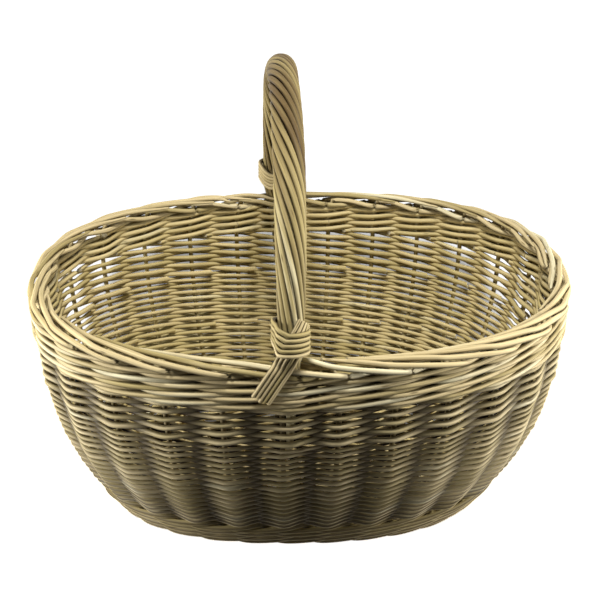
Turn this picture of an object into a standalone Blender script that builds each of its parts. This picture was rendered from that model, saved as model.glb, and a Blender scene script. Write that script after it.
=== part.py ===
"""Oval foraging basket of peeled willow with a roped bow handle.

Run with: blender --background --python part.py
Metres, +Z up, +X along the basket's length. The basket stands on z = 0, centred on the Z axis.
Stations count the stakes anticlockwise seen from above, from the front stake beside the handle.
"""

import math

import bpy
import numpy as np
from mathutils import Vector

# Outside sizes
RIM_LENGTH = 0.455
RIM_WIDTH = 0.376
RIM_HEIGHT = 0.212
HANDLE_HEIGHT = 0.389
HANDLE_LEAN = 0.0035
BASE_LENGTH = 0.308
BASE_WIDTH = 0.196
BASE_SHIFT = -0.004
BASE_CROWN = 0.004
HANDLE_SHIFT = 0.0120

# Plan and wall curves
PLAN_POWER = 2.35
WALL_POWER = 2.35
WALL_STEPS = 5
WALL_STEP_POWER = 1.15
PLAN_STEPS = 1440
ARCH_STEPS = 360

# Rods
ROD_GAP = 0.0004
STAKE_THICK = 0.0044
WALE_ROD_THICK = 0.0048
UPSETT_ROD_THICK = 0.0042
SIDE_ROD_BUTT = 0.0052
SIDE_ROD_TIP = 0.0038
BASE_ROD_THICK = 0.0034
CUT_DEPTH = 0.0005
WALE_CROSSING_SHARE = 1.14
UPSETT_CROSSING_SHARE = 1.34
UPSETT_STEP = 0.0032

# Counts
CROSS_STICKS = 4
LONG_STICKS = 3
SPOKES = 2 * (CROSS_STICKS + LONG_STICKS)
STAKES = 2 * SPOKES
STAKES_RIGHT = SPOKES + 1
WEAVE_START = 20
BASE_TURNS = 3
UPSETT_TURNS = 1
TOP_WALE_TURNS = 2
HANDLE_STRANDS = 8

# Handle
BOW_THICK = 0.0118
BOW_TIP_THICK = 0.0050
BOW_LEG = 0.080
BOW_STEPS = 26
BOW_LEG_STEPS = 3
STRAND_THICK = 0.0056
STRAND_SEAT = 0.0005
STRAND_LAY = 0.200
STRAND_STEPS_PER_LAY = 11
STRAND_FOOT_GAP = 0.0020
LEG_PASS_SHARE = 0.95
LEG_PASS_GAP = 0.0017

# Handle bindings
BINDING_RODS = 5
BINDING_ROD_THICK = 0.0038
BINDING_SIDES = 16
BINDING_SEAT = 0.0004
BINDING_FOOT_GAP = 0.0100
BINDING_VALLEY_SHARE = 0.4
TAIL_LEAN = 27
TAIL_END = 0.010
TAIL_DROP = 0.012
TAIL_WIDTH = 0.0155
TAIL_BORDER_GAP = 0.0012
TAIL_REST = 0.0118
TAIL_THICK_SHARE = 0.8

# Base
BASE_STICK_THICK = 0.0062
STICK_SIDES = 8
CROSS_STICK_THICK = 0.0066
CROSS_STICK_WAIST = 0.0150
CROSS_STICK_SPACING = 0.060
SLIT_LENGTH = 0.027
SLIT_FLAT_SHARE = 0.76
STICK_CLEAR = 0.0003
CORE_GAP = 0.012
LONG_CORE_GAP = 0.020
FAN_WIDTH = 0.018
FOOT_LENGTH = 0.0165
BASE_EDGE_INSET = 0.0135
BASE_LIFT = 0.0016
BASE_CLEAR = 0.0003

WILLOW_TONES = {
    "base": (0.42, 0.33, 0.16),
    "stake": (0.56, 0.46, 0.25),
    "side": (0.52, 0.45, 0.24),
    "wale": (0.58, 0.50, 0.28),
    "handle": (0.62, 0.53, 0.32),
}
WILLOW_ROUGHNESS = 0.42
SHARP_EDGE = 40

stake_radius = STAKE_THICK / 2
bow_radius = BOW_THICK / 2
strand_orbit = bow_radius + STRAND_THICK / 2 + STRAND_SEAT
rope_radius = strand_orbit + STRAND_THICK / 2
wale_rise = (WALE_ROD_THICK * WALE_CROSSING_SHARE + ROD_GAP) / 2
upsett_rise = (UPSETT_ROD_THICK * UPSETT_CROSSING_SHARE + ROD_GAP) / 2

# The border's path, in stakes along the rim and in stake thicknesses out from the wall and up
BORDER_SHARES = [
    (0.12, -0.14, 1.0),
    (0.5, -0.8, 0.95),
    (1.0, -1.6, 0.23),
    (1.5, 0.0, -0.18),
    (2.0, 1.64, 0.34),
    (3.0, 1.3, 1.5),
    (3.5, 0.62, 1.98),
    (4.5, -0.6, 2.12),
    (5.5, -1.8, 1.8),
]
# Beside the handle's leg a rod swings clear: rows are moved to new places, and 1 or -1 is a leg's clearance.
# Rods that would run into the leg are cut short at it, before the row that is None.
LEG_SHARES = {
    1: {2: (0.85, -1, 0.45)},
    2: {3: (1.35, 0, -0.18), 4: (1.75, 1.06, 0.24)},
    3: {5: (2.8, 1.02, 1.45)},
    4: {5: (3.0, 0.64, 1.62), 6: (3.5, -0.3, 2.15), 7: (3.82, -1.1, 1.85), 8: None},
    5: {7: (4.3, -0.85, 1.9), 8: None},
    6: {8: (4.85, -0.99, 1.8)},
}
BORDER_TOP_SHARE = max(up for _, _, up in BORDER_SHARES)
BORDER_DIP_SHARE = -min(up for _, _, up in BORDER_SHARES)
BORDER_OUT_SHARE = max(out for _, out, _ in BORDER_SHARES)
border_floor = RIM_HEIGHT - (BORDER_TOP_SHARE + 0.5) * STAKE_THICK
wall_length = RIM_LENGTH - (2 * BORDER_OUT_SHARE + 1) * STAKE_THICK
wall_width = RIM_WIDTH - (2 * BORDER_OUT_SHARE + 1) * STAKE_THICK

# Outward lean of the wall at its foot, and the drop from there to the lowest rod
foot_slope = math.atan(WALL_POWER * (wall_length - BASE_LENGTH) / 2 / border_floor)
upsett_out = (STAKE_THICK + UPSETT_ROD_THICK) / 2 + ROD_GAP
foot_drop = upsett_out * math.sin(foot_slope) + upsett_rise * math.cos(foot_slope) + UPSETT_ROD_THICK / 2
wall_foot = foot_drop - CUT_DEPTH
base_lift = CROSS_STICK_THICK / 2 + BASE_ROD_THICK / 2 + BASE_LIFT
base_middle = base_lift + BASE_ROD_THICK / 2 + BASE_CLEAR


def clear_scene():
    for obj in list(bpy.data.objects):
        bpy.data.objects.remove(obj)


def willow(tone):
    """Peeled willow, dried to a semi-gloss straw colour."""
    name = "peeled_willow_" + tone
    material = bpy.data.materials.get(name)
    if material is None:
        material = bpy.data.materials.new(name)
        material.use_nodes = True
        shader = material.node_tree.nodes["Principled BSDF"]
        shader.inputs["Base Color"].default_value = (*WILLOW_TONES[tone], 1)
        shader.inputs["Roughness"].default_value = WILLOW_ROUGHNESS
    return material


def rod(name, points, thick, tone, sides=4, tip=None):
    """A willow rod: a curve with a round bevel that tapers evenly from thick to tip."""
    curve = bpy.data.curves.new(name, "CURVE")
    curve.dimensions = "3D"
    curve.twist_mode = "Z_UP"
    curve.bevel_depth = thick / 2
    curve.bevel_resolution = (sides - 4) // 2
    curve.use_fill_caps = True
    spline = curve.splines.new("POLY")
    spline.points.add(len(points) - 1)
    taper = 1 if tip is None else tip / thick
    for number, (point, place) in enumerate(zip(spline.points, points)):
        point.co = (*place, 1)
        point.radius = 1 + (taper - 1) * number / (len(points) - 1)
    obj = bpy.data.objects.new(name, curve)
    bpy.context.scene.collection.objects.link(obj)
    curve.materials.append(willow(tone))
    return obj


def solid(name, verts, faces, tone):
    mesh = bpy.data.meshes.new(name)
    mesh.from_pydata(verts, [], faces)
    mesh.shade_smooth()
    mesh.set_sharp_from_angle(angle=math.radians(SHARP_EDGE))
    mesh.materials.append(willow(tone))
    obj = bpy.data.objects.new(name, mesh)
    bpy.context.scene.collection.objects.link(obj)
    return obj


def loft(name, rings, tone, closed=False):
    """Joins rings of as many points into one skin; open ends get caps, closed rings meet again."""
    count = len(rings[0])
    verts = [tuple(point) for ring in rings for point in ring]
    faces = [] if closed else [tuple(range(count)), tuple(reversed(range(len(verts) - count, len(verts))))]
    spans = len(rings) if closed else len(rings) - 1
    for ring in range(spans):
        here = ring * count
        there = (ring + 1) % len(rings) * count
        for corner in range(count):
            after = (corner + 1) % count
            faces.append((here + after, here + corner, there + corner, there + after))
    return solid(name, verts, faces, tone)


def cutter(obj):
    obj.hide_render = True
    obj.display_type = "WIRE"
    return obj


def boolean(obj, other, operation):
    step = obj.modifiers.new(operation.lower(), "BOOLEAN")
    step.operation = operation
    step.solver = "EXACT"
    step.object = cutter(other)


# The oval and the wall


def signed_power(value):
    return math.copysign(abs(value) ** (2 / PLAN_POWER), value)


def plan_point(angle, half_length, half_width):
    """A point of the oval, measured anticlockwise from the middle of the front."""
    return half_length * signed_power(math.sin(angle)), -half_width * signed_power(math.cos(angle))


def arc_table():
    """Angles round the mean oval, with the arc length up to each."""
    half_length = (BASE_LENGTH + wall_length) / 4
    half_width = (BASE_WIDTH + wall_width) / 4
    angles = np.linspace(0, 2 * math.pi, PLAN_STEPS + 1)
    points = np.array([plan_point(angle, half_length, half_width) for angle in angles])
    steps = np.linalg.norm(np.diff(points, axis=0), axis=1)
    return angles, np.concatenate([[0], np.cumsum(steps)])


ARC_ANGLES, ARC_LENGTHS = arc_table()


def station_angle(station):
    """Stakes stand evenly on each side, from the front handle stake to the back one."""
    place = station % STAKES
    half = ARC_LENGTHS[-1] / 2
    if place <= STAKES_RIGHT:
        arc = (half + 2 * HANDLE_SHIFT) * place / STAKES_RIGHT - HANDLE_SHIFT
    else:
        share = (place - STAKES_RIGHT) / (STAKES - STAKES_RIGHT)
        arc = half + HANDLE_SHIFT + (half - 2 * HANDLE_SHIFT) * share
    return float(np.interp(arc % ARC_LENGTHS[-1], ARC_LENGTHS, ARC_ANGLES))


def growth(share):
    """Share of the flare reached at a share of the wall's height."""
    return 1 - (1 - share) ** WALL_POWER


WALL_SHARES = np.linspace(0, 1, WALL_STEPS + 1) ** WALL_STEP_POWER
WALL_HEIGHTS = wall_foot + (border_floor - wall_foot) * WALL_SHARES


def wall_size(height):
    """Half length, half width and middle of the oval through the stakes at a height."""
    reach = float(np.interp(height, WALL_HEIGHTS, growth(WALL_SHARES)))
    half_length = (BASE_LENGTH + (wall_length - BASE_LENGTH) * reach) / 2
    half_width = (BASE_WIDTH + (wall_width - BASE_WIDTH) * reach) / 2
    return half_length, half_width, BASE_SHIFT * (1 - reach)


def flare(height):
    """How fast the half length, the half width and the middle move with height."""
    share = min(max((height - wall_foot) / (border_floor - wall_foot), 0), 1)
    rate = WALL_POWER * (1 - share) ** (WALL_POWER - 1) / (border_floor - wall_foot)
    return rate * (wall_length - BASE_LENGTH) / 2, rate * (wall_width - BASE_WIDTH) / 2, -rate * BASE_SHIFT


def wall_frame(station, height):
    """A point on the wall's middle surface, with its outward normal, its way up and its way round."""
    half_length, half_width, middle = wall_size(height)
    x, y = plan_point(station_angle(station), half_length, half_width)
    normal = Vector(
        (
            math.copysign(abs(x / half_length) ** (PLAN_POWER - 1), x) / half_length,
            math.copysign(abs(y / half_width) ** (PLAN_POWER - 1), y) / half_width,
            0,
        )
    ).normalized()
    length_rate, width_rate, middle_rate = flare(height)
    x_rate = x / half_length * length_rate + middle_rate
    slope = Vector((x_rate, y / half_width * width_rate, 1)).normalized()
    round_way = Vector((-normal.y, normal.x, 0))
    out = round_way.cross(slope).normalized()
    return Vector((x + middle, y, height)), out, slope, round_way


def wall_point(station, height, out=0.0, up=0.0, along=0.0):
    point, normal, slope, round_way = wall_frame(station, height)
    return point + normal * out + slope * up + round_way * along


def climb_table():
    """Heights up the wall, with the length of wall below each at its mean flare."""
    heights = np.linspace(wall_foot, border_floor, PLAN_STEPS)
    sizes = np.array([sum(wall_size(height)[:2]) / 2 for height in heights])
    steps = np.hypot(np.diff(heights), np.diff(sizes))
    return heights, np.concatenate([[0], np.cumsum(steps)])


CLIMB_HEIGHTS, CLIMB_LENGTHS = climb_table()


def height_at(climb):
    return float(np.interp(climb, CLIMB_LENGTHS, CLIMB_HEIGHTS))


# The handle's bow, which stands beside a stake at the front and at the back

HANDLE_STATIONS = (0, STAKES_RIGHT)


def leg_thick(height):
    """The leg is cut to a long slype that tapers down through the weave."""
    share = (RIM_HEIGHT - height) / BOW_LEG
    return BOW_THICK + (BOW_TIP_THICK - BOW_THICK) * min(max(share, 0), 1)


def leg_offset(height):
    return stake_radius + leg_thick(height) / 2 + ROD_GAP


def leg_point(station, height):
    return wall_point(station, height, along=leg_offset(height))


def arch_point(turn):
    """The bow's middle line, from the front foot at 0 to the back foot at pi."""
    front, back = (leg_point(station, RIM_HEIGHT) for station in HANDLE_STATIONS)
    place = front.lerp(back, (1 - math.cos(turn)) / 2)
    crown = HANDLE_HEIGHT - rope_radius
    rise = math.sin(turn)
    return Vector((place.x + HANDLE_LEAN * rise, place.y, RIM_HEIGHT + (crown - RIM_HEIGHT) * rise))


def arch_table():
    turns = np.linspace(0, math.pi, ARCH_STEPS)
    points = np.array([arch_point(turn) for turn in turns])
    steps = np.linalg.norm(np.diff(points, axis=0), axis=1)
    return turns, np.concatenate([[0], np.cumsum(steps)])


ARCH_TURNS, ARCH_LENGTHS = arch_table()


def arch_frame(length):
    """The arch's point, tangent, sideways and outward directions at a length from the front foot."""
    turn = float(np.interp(length, ARCH_LENGTHS, ARCH_TURNS))
    nudge = math.pi / PLAN_STEPS
    tangent = (arch_point(turn + nudge) - arch_point(turn - nudge)).normalized()
    front, back = arch_point(0), arch_point(math.pi)
    side = (back - front).cross(Vector((0, 0, 1))).normalized()
    return arch_point(turn), tangent, side, side.cross(tangent).normalized()


def make_bow():
    legs = [RIM_HEIGHT - BOW_LEG * (1 - step / BOW_LEG_STEPS) for step in range(BOW_LEG_STEPS)]
    points = [leg_point(HANDLE_STATIONS[0], height) for height in legs]
    points += [arch_frame(ARCH_LENGTHS[-1] * step / BOW_STEPS)[0] for step in range(BOW_STEPS + 1)]
    points += [leg_point(HANDLE_STATIONS[1], height) for height in reversed(legs)]
    obj = rod("handle_bow", points, BOW_THICK, "handle", sides=8)
    for point in obj.data.splines[0].points:
        point.radius = leg_thick(point.co.z) / BOW_THICK


def make_strands():
    """Fine rods roped round the bow, each one long helix from foot to foot."""
    first = STRAND_FOOT_GAP
    last = ARCH_LENGTHS[-1] - STRAND_FOOT_GAP
    steps = max(STRAND_STEPS_PER_LAY, round((last - first) / STRAND_LAY * STRAND_STEPS_PER_LAY))
    for number in range(HANDLE_STRANDS):
        points = []
        for length in np.linspace(first, last, steps + 1):
            point, _, side, out = arch_frame(length)
            turn = 2 * math.pi * (length / STRAND_LAY + number / HANDLE_STRANDS)
            points.append(point + (side * math.cos(turn) + out * math.sin(turn)) * strand_orbit)
        rod(f"handle_strand_{number + 1}", points, STRAND_THICK, "handle")


def binding_section(width, low, high):
    """One flat side, and one side with a ridge for each rod that lies beside the next."""
    rods = BINDING_RODS
    valley = high - (high - low) * BINDING_VALLEY_SHARE
    corners = [(0, low), (0, valley)]
    for number in range(rods):
        corners.append((width * (number + 0.5) / rods, high))
        corners.append((width * (number + 1) / rods, valley))
    corners.append((width, low))
    return corners


def make_binding(name, station, from_back):
    """Rods side by side, wound round the rope's foot, with their tail laid down outside the border."""
    width = BINDING_RODS * BINDING_ROD_THICK
    inner = rope_radius + BINDING_SEAT
    outer = inner + BINDING_ROD_THICK
    rings = []
    for side_number in range(BINDING_SIDES):
        turn = 2 * math.pi * side_number / BINDING_SIDES
        ring = []
        for height, radius in binding_section(width, inner, outer):
            length = BINDING_FOOT_GAP + height
            point, _, side, out = arch_frame(ARCH_LENGTHS[-1] - length if from_back else length)
            ring.append(point + (side * math.cos(turn) + out * math.sin(turn)) * radius)
        rings.append(ring)
    if from_back:
        rings.reverse()
    band = loft(name, rings, "handle", closed=True)
    boolean(band, make_tail(name, station, (inner + outer) / 2), "UNION")


def make_tail(name, station, reach):
    """The flat tail crosses the border on the slant and stops against the top wale."""
    lean = math.tan(math.radians(TAIL_LEAN))
    band = BINDING_RODS * BINDING_ROD_THICK
    foot = RIM_HEIGHT + BINDING_FOOT_GAP
    thick = BINDING_ROD_THICK * TAIL_THICK_SHARE
    over_border = (BORDER_OUT_SHARE + 0.5) * STAKE_THICK + thick / 2 + TAIL_BORDER_GAP
    top = foot + band + TAIL_END
    start = leg_offset(RIM_HEIGHT) + lean * (band / 2 + TAIL_END)
    stops = [(top, reach), (foot, reach)]
    stops += [(RIM_HEIGHT - STAKE_THICK, over_border), (border_floor, over_border)]
    stops.append((border_floor - TAIL_DROP, TAIL_REST))
    points = []
    for height, out in stops:
        along = start - lean * (top - height)
        points.append(wall_point(station, min(height, RIM_HEIGHT), out=out, along=along) + lift(height))
    _, normal, _, _ = wall_frame(station, RIM_HEIGHT)
    rings = []
    for number, point in enumerate(points):
        before, after = points[max(number - 1, 0)], points[min(number + 1, len(points) - 1)]
        way = (after - before).normalized()
        across = way.cross(normal).normalized()
        out = across.cross(way)
        section = binding_section(TAIL_WIDTH, -thick / 2, thick / 2)
        rings.append([point + across * (wide - TAIL_WIDTH / 2) + out * deep for wide, deep in section])
    return loft(name + "_tail", rings, "handle")


def lift(height):
    return Vector((0, 0, max(height - RIM_HEIGHT, 0)))


# Base

HALF_CROSS = CROSS_STICKS // 2
FRONT_SPOKES = [(number - HALF_CROSS) % SPOKES for number in range(CROSS_STICKS)]
RIGHT_SPOKES = [HALF_CROSS + number for number in range(LONG_STICKS)]
BACK_SPOKES = [HALF_CROSS + LONG_STICKS + CROSS_STICKS - 1 - number for number in range(CROSS_STICKS)]
LEFT_SPOKES = [SPOKES - HALF_CROSS - 1 - number for number in range(LONG_STICKS)]
long_stick_pitch = BASE_STICK_THICK + STICK_CLEAR
core_width = LONG_STICKS * long_stick_pitch / 2 + CORE_GAP


def crown_at(x, y):
    """The base rises a little towards its middle."""
    share = (2 * (x - BASE_SHIFT) / BASE_LENGTH) ** 2 + (2 * y / BASE_WIDTH) ** 2
    return base_middle + BASE_CROWN * max(0, 1 - share)


def cross_stick_x(number):
    return BASE_SHIFT + CROSS_STICK_SPACING * (number - (CROSS_STICKS - 1) / 2)


def edge_width_at(x):
    """Half width of the woven base at a place along it."""
    half_length = BASE_LENGTH / 2 - BASE_EDGE_INSET
    half_width = BASE_WIDTH / 2 - BASE_EDGE_INSET
    return half_width * (1 - abs((x - BASE_SHIFT) / half_length) ** PLAN_POWER) ** (1 / PLAN_POWER)


def spoke_lines():
    """For each stick end, in the stations' order: where the weave starts on it, its tip and its thickness."""
    lines = [None] * SPOKES
    inset_length = BASE_LENGTH / 2 - BASE_EDGE_INSET
    inset_width = BASE_WIDTH / 2 - BASE_EDGE_INSET
    for order, sign in ((FRONT_SPOKES, -1), (BACK_SPOKES, 1)):
        for number, spoke in enumerate(order):
            x = cross_stick_x(number)
            start, tip = Vector((x, sign * core_width, 0)), Vector((x, sign * edge_width_at(x), 0))
            lines[spoke] = (start, tip, CROSS_STICK_THICK)
    core_ends = (cross_stick_x(CROSS_STICKS - 1) + LONG_CORE_GAP, cross_stick_x(0) - LONG_CORE_GAP)
    for order, x in zip((RIGHT_SPOKES, LEFT_SPOKES), core_ends):
        for number, spoke in enumerate(order):
            lane = number - (LONG_STICKS - 1) / 2
            tip_x, tip_y = plan_point(station_angle(2 * spoke + 1.5), inset_length, inset_width)
            tip = Vector((BASE_SHIFT + tip_x, tip_y, 0))
            lines[spoke] = (Vector((x, lane * FAN_WIDTH, 0)), tip, BASE_STICK_THICK)
    return lines


def make_long_sticks(spokes):
    """Long sticks lie side by side through the slits and fan out at both ends."""
    for number in range(LONG_STICKS):
        y = (number - (LONG_STICKS - 1) / 2) * long_stick_pitch
        left_start, left_tip, _ = spokes[LEFT_SPOKES[number]]
        right_start, right_tip, _ = spokes[RIGHT_SPOKES[number]]
        middle = [Vector((cross_stick_x(stick), y, 0)) for stick in range(CROSS_STICKS)]
        route = [left_tip, left_start, *middle, right_start, right_tip]
        points = [(point.x, point.y, crown_at(point.x, point.y)) for point in route]
        rod(f"base_long_stick_{number + 1}", points, BASE_STICK_THICK, "base", sides=6)


def make_cross_sticks(spokes):
    """Each cross stick swells at the middle, where a slit lets the long sticks through."""
    for number in range(CROSS_STICKS):
        x = cross_stick_x(number)
        back = spokes[BACK_SPOKES[number]][1].y
        swell = SLIT_LENGTH * SLIT_FLAT_SHARE / 2
        level = crown_at(x, 0)
        stops = [(swell, CROSS_STICK_WAIST), (core_width - BASE_ROD_THICK, CROSS_STICK_THICK)]
        stops.append((back, CROSS_STICK_THICK))
        sections = [(-y, tall) for y, tall in reversed(stops)] + stops
        rings = []
        for y, tall in sections:
            ring = []
            for corner in range(STICK_SIDES):
                turn = 2 * math.pi * (corner + 0.5) / STICK_SIDES
                height = (level if tall > CROSS_STICK_THICK else crown_at(x, y)) + tall / 2 * math.sin(turn)
                ring.append((x + CROSS_STICK_THICK / 2 * math.cos(turn), y, height))
            rings.append(ring)
        stick = loft(f"base_cross_stick_{number + 1}", rings, "base")
        boolean(stick, make_slit(x, level), "DIFFERENCE")


def make_slit(x, level):
    """A slot with tapered ends, right through the stick along X."""
    half = SLIT_LENGTH / 2
    flat = half * SLIT_FLAT_SHARE
    tall = BASE_STICK_THICK / 2 + ROD_GAP
    outline = [(-half, 0), (-flat, -tall), (flat, -tall), (half, 0), (flat, tall), (-flat, tall)]
    rings = [[(x + side * CROSS_STICK_THICK, y, level + z) for y, z in outline] for side in (1, -1)]
    return loft(f"slit_{x:.3f}", rings, "base")


def make_base_weavers(spokes):
    """Two weavers chase each other out from the core, over one stick and under the next."""
    rows = 2 * BASE_TURNS
    for phase, letter in enumerate("ab"):
        points = []
        for step in range(SPOKES * BASE_TURNS + 1):
            start, tip, _ = spokes[step % SPOKES]
            place = start.lerp(tip, (2 * step / SPOKES + phase) / (rows + 1))
            side = 1 if (step + phase) % 2 else -1
            points.append((place.x, place.y, crown_at(place.x, place.y) + side * base_lift))
        rod(f"base_weaver_{letter}", points, BASE_ROD_THICK, "base")


# Stakes and border


def foot_points(station, spokes):
    """The stake's butt is pushed into the base beside a stick."""
    start, tip, thick = spokes[(station - 1) % STAKES // 2]
    outward = (tip - start).normalized()
    across = Vector((-outward.y, outward.x, 0))
    side = 1 if (station - 1) % 2 else -1
    end = tip + across * side * (thick / 2 + stake_radius + ROD_GAP)
    butt = end - outward * FOOT_LENGTH
    return [Vector((place.x, place.y, crown_at(place.x, place.y))) for place in (butt, end)]


def border_points(station):
    """Down behind one stake, in front of the next and along the top of the border."""
    clearance = bow_radius + stake_radius + 2 * ROD_GAP
    points = []
    for row, (along, out, up) in enumerate(BORDER_SHARES):
        reach = out * STAKE_THICK
        for handle in HANDLE_STATIONS:
            moved = LEG_SHARES.get((station - handle) % STAKES, {})
            if row in moved and moved[row] is None:
                return points
            if row in moved:
                along, out, up = moved[row]
                reach = out * clearance
        raised = Vector((0, 0, up * STAKE_THICK))
        points.append(wall_point(station - along, border_floor, out=reach) + raised)
    return points


def make_stakes(spokes):
    for station in range(STAKES):
        points = foot_points(station, spokes)
        points += [wall_point(station, height) for height in WALL_HEIGHTS]
        points += border_points(station)
        rod(f"stake_{station + 1:02d}", points, STAKE_THICK, "stake")


# Weaving


def pass_by(station, height, thick):
    """How far out a rod's middle passes a stake, and how far along from the stake."""
    if station % STAKES in HANDLE_STATIONS and height > RIM_HEIGHT - BOW_LEG - thick:
        return (leg_thick(height) + thick) / 2 + LEG_PASS_GAP, leg_offset(height) * LEG_PASS_SHARE
    return stake_radius + thick / 2 + ROD_GAP, 0.0


def wale_points(first, turns, climb, thick, rise, step_over):
    """Behind one stake and in front of two; a round is level and steps up to the next at its end."""
    points = []
    last = turns * STAKES - 1
    for step in range(first, last + 1):
        station = WEAVE_START + step
        level = climb + 4 * rise * (step // STAKES)
        height = height_at(level)
        out, along = pass_by(station, height, thick)
        phase = (step - first) % 3
        place, up = ((-out, step_over), (out, -rise), (out, rise))[phase]
        points.append(wall_point(station, height, out=place, up=up, along=along))
        if phase != 1 and step < last:
            half_way = (level + climb + 4 * rise * ((step + 1) // STAKES)) / 2
            points.append(wall_point(station + 0.5, height_at(half_way), up=rise if phase else -rise))
    return points


def make_wale(prefix, turns, climb, thick, rise, step_over=0.0):
    for first, letter in enumerate("abc"):
        points = wale_points(first, turns, climb, thick, rise, step_over)
        yield rod(f"{prefix}_{letter}", points, thick, "wale")


def make_side_weave(low, high):
    """Two rods chase each other, in front of one stake and behind the next, in three bands."""
    turns = math.floor((high - low + SIDE_ROD_BUTT + ROD_GAP) / (2 * (SIDE_ROD_BUTT + ROD_GAP)))
    pitch = (high - low) / (2 * turns - 1)
    bands = ("lower", "middle", "upper")
    for phase, letter in enumerate("ab"):
        for number, band in enumerate(bands):
            first = turns * STAKES * number // len(bands)
            last = turns * STAKES * (number + 1) // len(bands) - 1
            points = []
            for step in range(first, last + 1):
                share = (step - first) / (last - first)
                thick = SIDE_ROD_BUTT + (SIDE_ROD_TIP - SIDE_ROD_BUTT) * share
                height = height_at(low + pitch * (2 * (step // STAKES) + phase))
                out, along = pass_by(WEAVE_START + step, height, thick)
                side = 1 if (step + phase) % 2 else -1
                points.append(wall_point(WEAVE_START + step, height, out=side * out, along=along))
            rod(f"side_weaver_{band}_{letter}", points, SIDE_ROD_BUTT, "side", tip=SIDE_ROD_TIP)


def make_floor():
    """A block under the floor, wider than the basket."""
    x, y = RIM_LENGTH, RIM_WIDTH
    corners = [(x, -y), (x, y), (-x, y), (-x, -y)]
    return loft("floor", [[(*corner, z) for corner in corners] for z in (0, -RIM_HEIGHT)], "base")


def stand_on_floor(obj, floor):
    """A rod that the basket stands on becomes a mesh, cut flat at the floor."""
    mesh = bpy.data.meshes.new_from_object(obj.evaluated_get(bpy.context.evaluated_depsgraph_get()))
    name = obj.name
    bpy.data.objects.remove(obj)
    standing = bpy.data.objects.new(name, mesh)
    bpy.context.scene.collection.objects.link(standing)
    boolean(standing, floor, "DIFFERENCE")


def make_weave():
    """The upsett, the side weave and the top wale share out the wall between base and border."""
    upsett = list(make_wale("upsett_wale", UPSETT_TURNS, 0, UPSETT_ROD_THICK, upsett_rise, UPSETT_STEP))
    bpy.context.view_layer.update()
    floor = make_floor()
    for obj in upsett:
        stand_on_floor(obj, floor)
    upsett_top = 4 * upsett_rise * (UPSETT_TURNS - 1) + max(upsett_rise, UPSETT_STEP) + UPSETT_ROD_THICK / 2
    border_low = CLIMB_LENGTHS[-1] - (BORDER_DIP_SHARE + 0.5) * STAKE_THICK
    wale_top = border_low - ROD_GAP - WALE_ROD_THICK / 2 - wale_rise
    wale_low = wale_top - 4 * wale_rise * (TOP_WALE_TURNS - 1)
    low = upsett_top + SIDE_ROD_BUTT / 2 + ROD_GAP
    high = wale_low - wale_rise - (WALE_ROD_THICK + SIDE_ROD_BUTT) / 2 - ROD_GAP
    make_side_weave(low, high)
    list(make_wale("top_wale", TOP_WALE_TURNS, wale_low, WALE_ROD_THICK, wale_rise))


def main():
    clear_scene()
    spokes = spoke_lines()
    make_long_sticks(spokes)
    make_cross_sticks(spokes)
    make_base_weavers(spokes)
    make_stakes(spokes)
    make_weave()
    make_bow()
    make_strands()
    make_binding("front_handle_binding", HANDLE_STATIONS[0], False)
    make_binding("back_handle_binding", HANDLE_STATIONS[1], True)


if __name__ == "__main__":
    main()
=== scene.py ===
"""Oval foraging basket of peeled willow: the looks, laid round the fixed solids.

Metres, +Z up, +X along the basket's length, -Y towards the front. The basket stands on z = 0.
Stations count the stakes anticlockwise seen from above, from the front stake beside the handle.
A climb is a length measured up the wall's skin from the foot.
"""

import math

import bpy
import numpy as np
from bpy.props import FloatProperty, FloatVectorProperty, IntProperty, PointerProperty
from mathutils import Matrix, Vector


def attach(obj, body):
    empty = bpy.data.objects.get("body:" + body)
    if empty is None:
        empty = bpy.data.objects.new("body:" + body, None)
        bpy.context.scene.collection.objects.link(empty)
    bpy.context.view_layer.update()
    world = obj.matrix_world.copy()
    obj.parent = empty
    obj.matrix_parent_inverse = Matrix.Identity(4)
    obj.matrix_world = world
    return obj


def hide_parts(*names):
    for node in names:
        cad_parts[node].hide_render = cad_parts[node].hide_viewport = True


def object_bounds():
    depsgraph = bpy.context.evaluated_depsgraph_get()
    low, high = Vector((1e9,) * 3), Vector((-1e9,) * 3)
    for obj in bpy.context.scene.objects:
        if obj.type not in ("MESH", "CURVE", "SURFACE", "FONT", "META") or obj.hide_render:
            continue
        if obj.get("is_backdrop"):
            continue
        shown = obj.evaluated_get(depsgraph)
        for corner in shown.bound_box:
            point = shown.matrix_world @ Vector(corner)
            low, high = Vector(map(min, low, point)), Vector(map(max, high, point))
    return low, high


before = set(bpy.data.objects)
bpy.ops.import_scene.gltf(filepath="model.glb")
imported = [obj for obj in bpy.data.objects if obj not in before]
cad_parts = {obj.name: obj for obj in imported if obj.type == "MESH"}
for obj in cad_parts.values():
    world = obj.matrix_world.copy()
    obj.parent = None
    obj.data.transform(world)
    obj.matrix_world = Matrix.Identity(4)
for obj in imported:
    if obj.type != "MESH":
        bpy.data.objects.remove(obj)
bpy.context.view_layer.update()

bl_info = {
    "name": "Willow Foraging Basket",
    "version": (1, 0, 0),
    "blender": (4, 5, 0),
    "location": "View3D > Sidebar > Basket",
    "description": "Weaves an oval willow basket with a roped bow handle round its solids",
    "category": "Mesh",
}

# Powers that shape the oval and the wall, and the steps in which their lengths are tabled
PLAN_POWER = 2.35
WALL_POWER = 2.35
TABLE_STEPS = 1440
# Sides drawn round a rod, a rod of the handle, a base stick and the bow
ROD_SIDES = 8
FINE_SIDES = 10
STICK_SIDES = 12
BOW_SIDES = 16
# Steps drawn between two points of a path
STATION_STEPS = 6
RANDED_STEPS = 3
UPRIGHT_STEPS = 4
STICK_STEPS = 8
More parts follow.
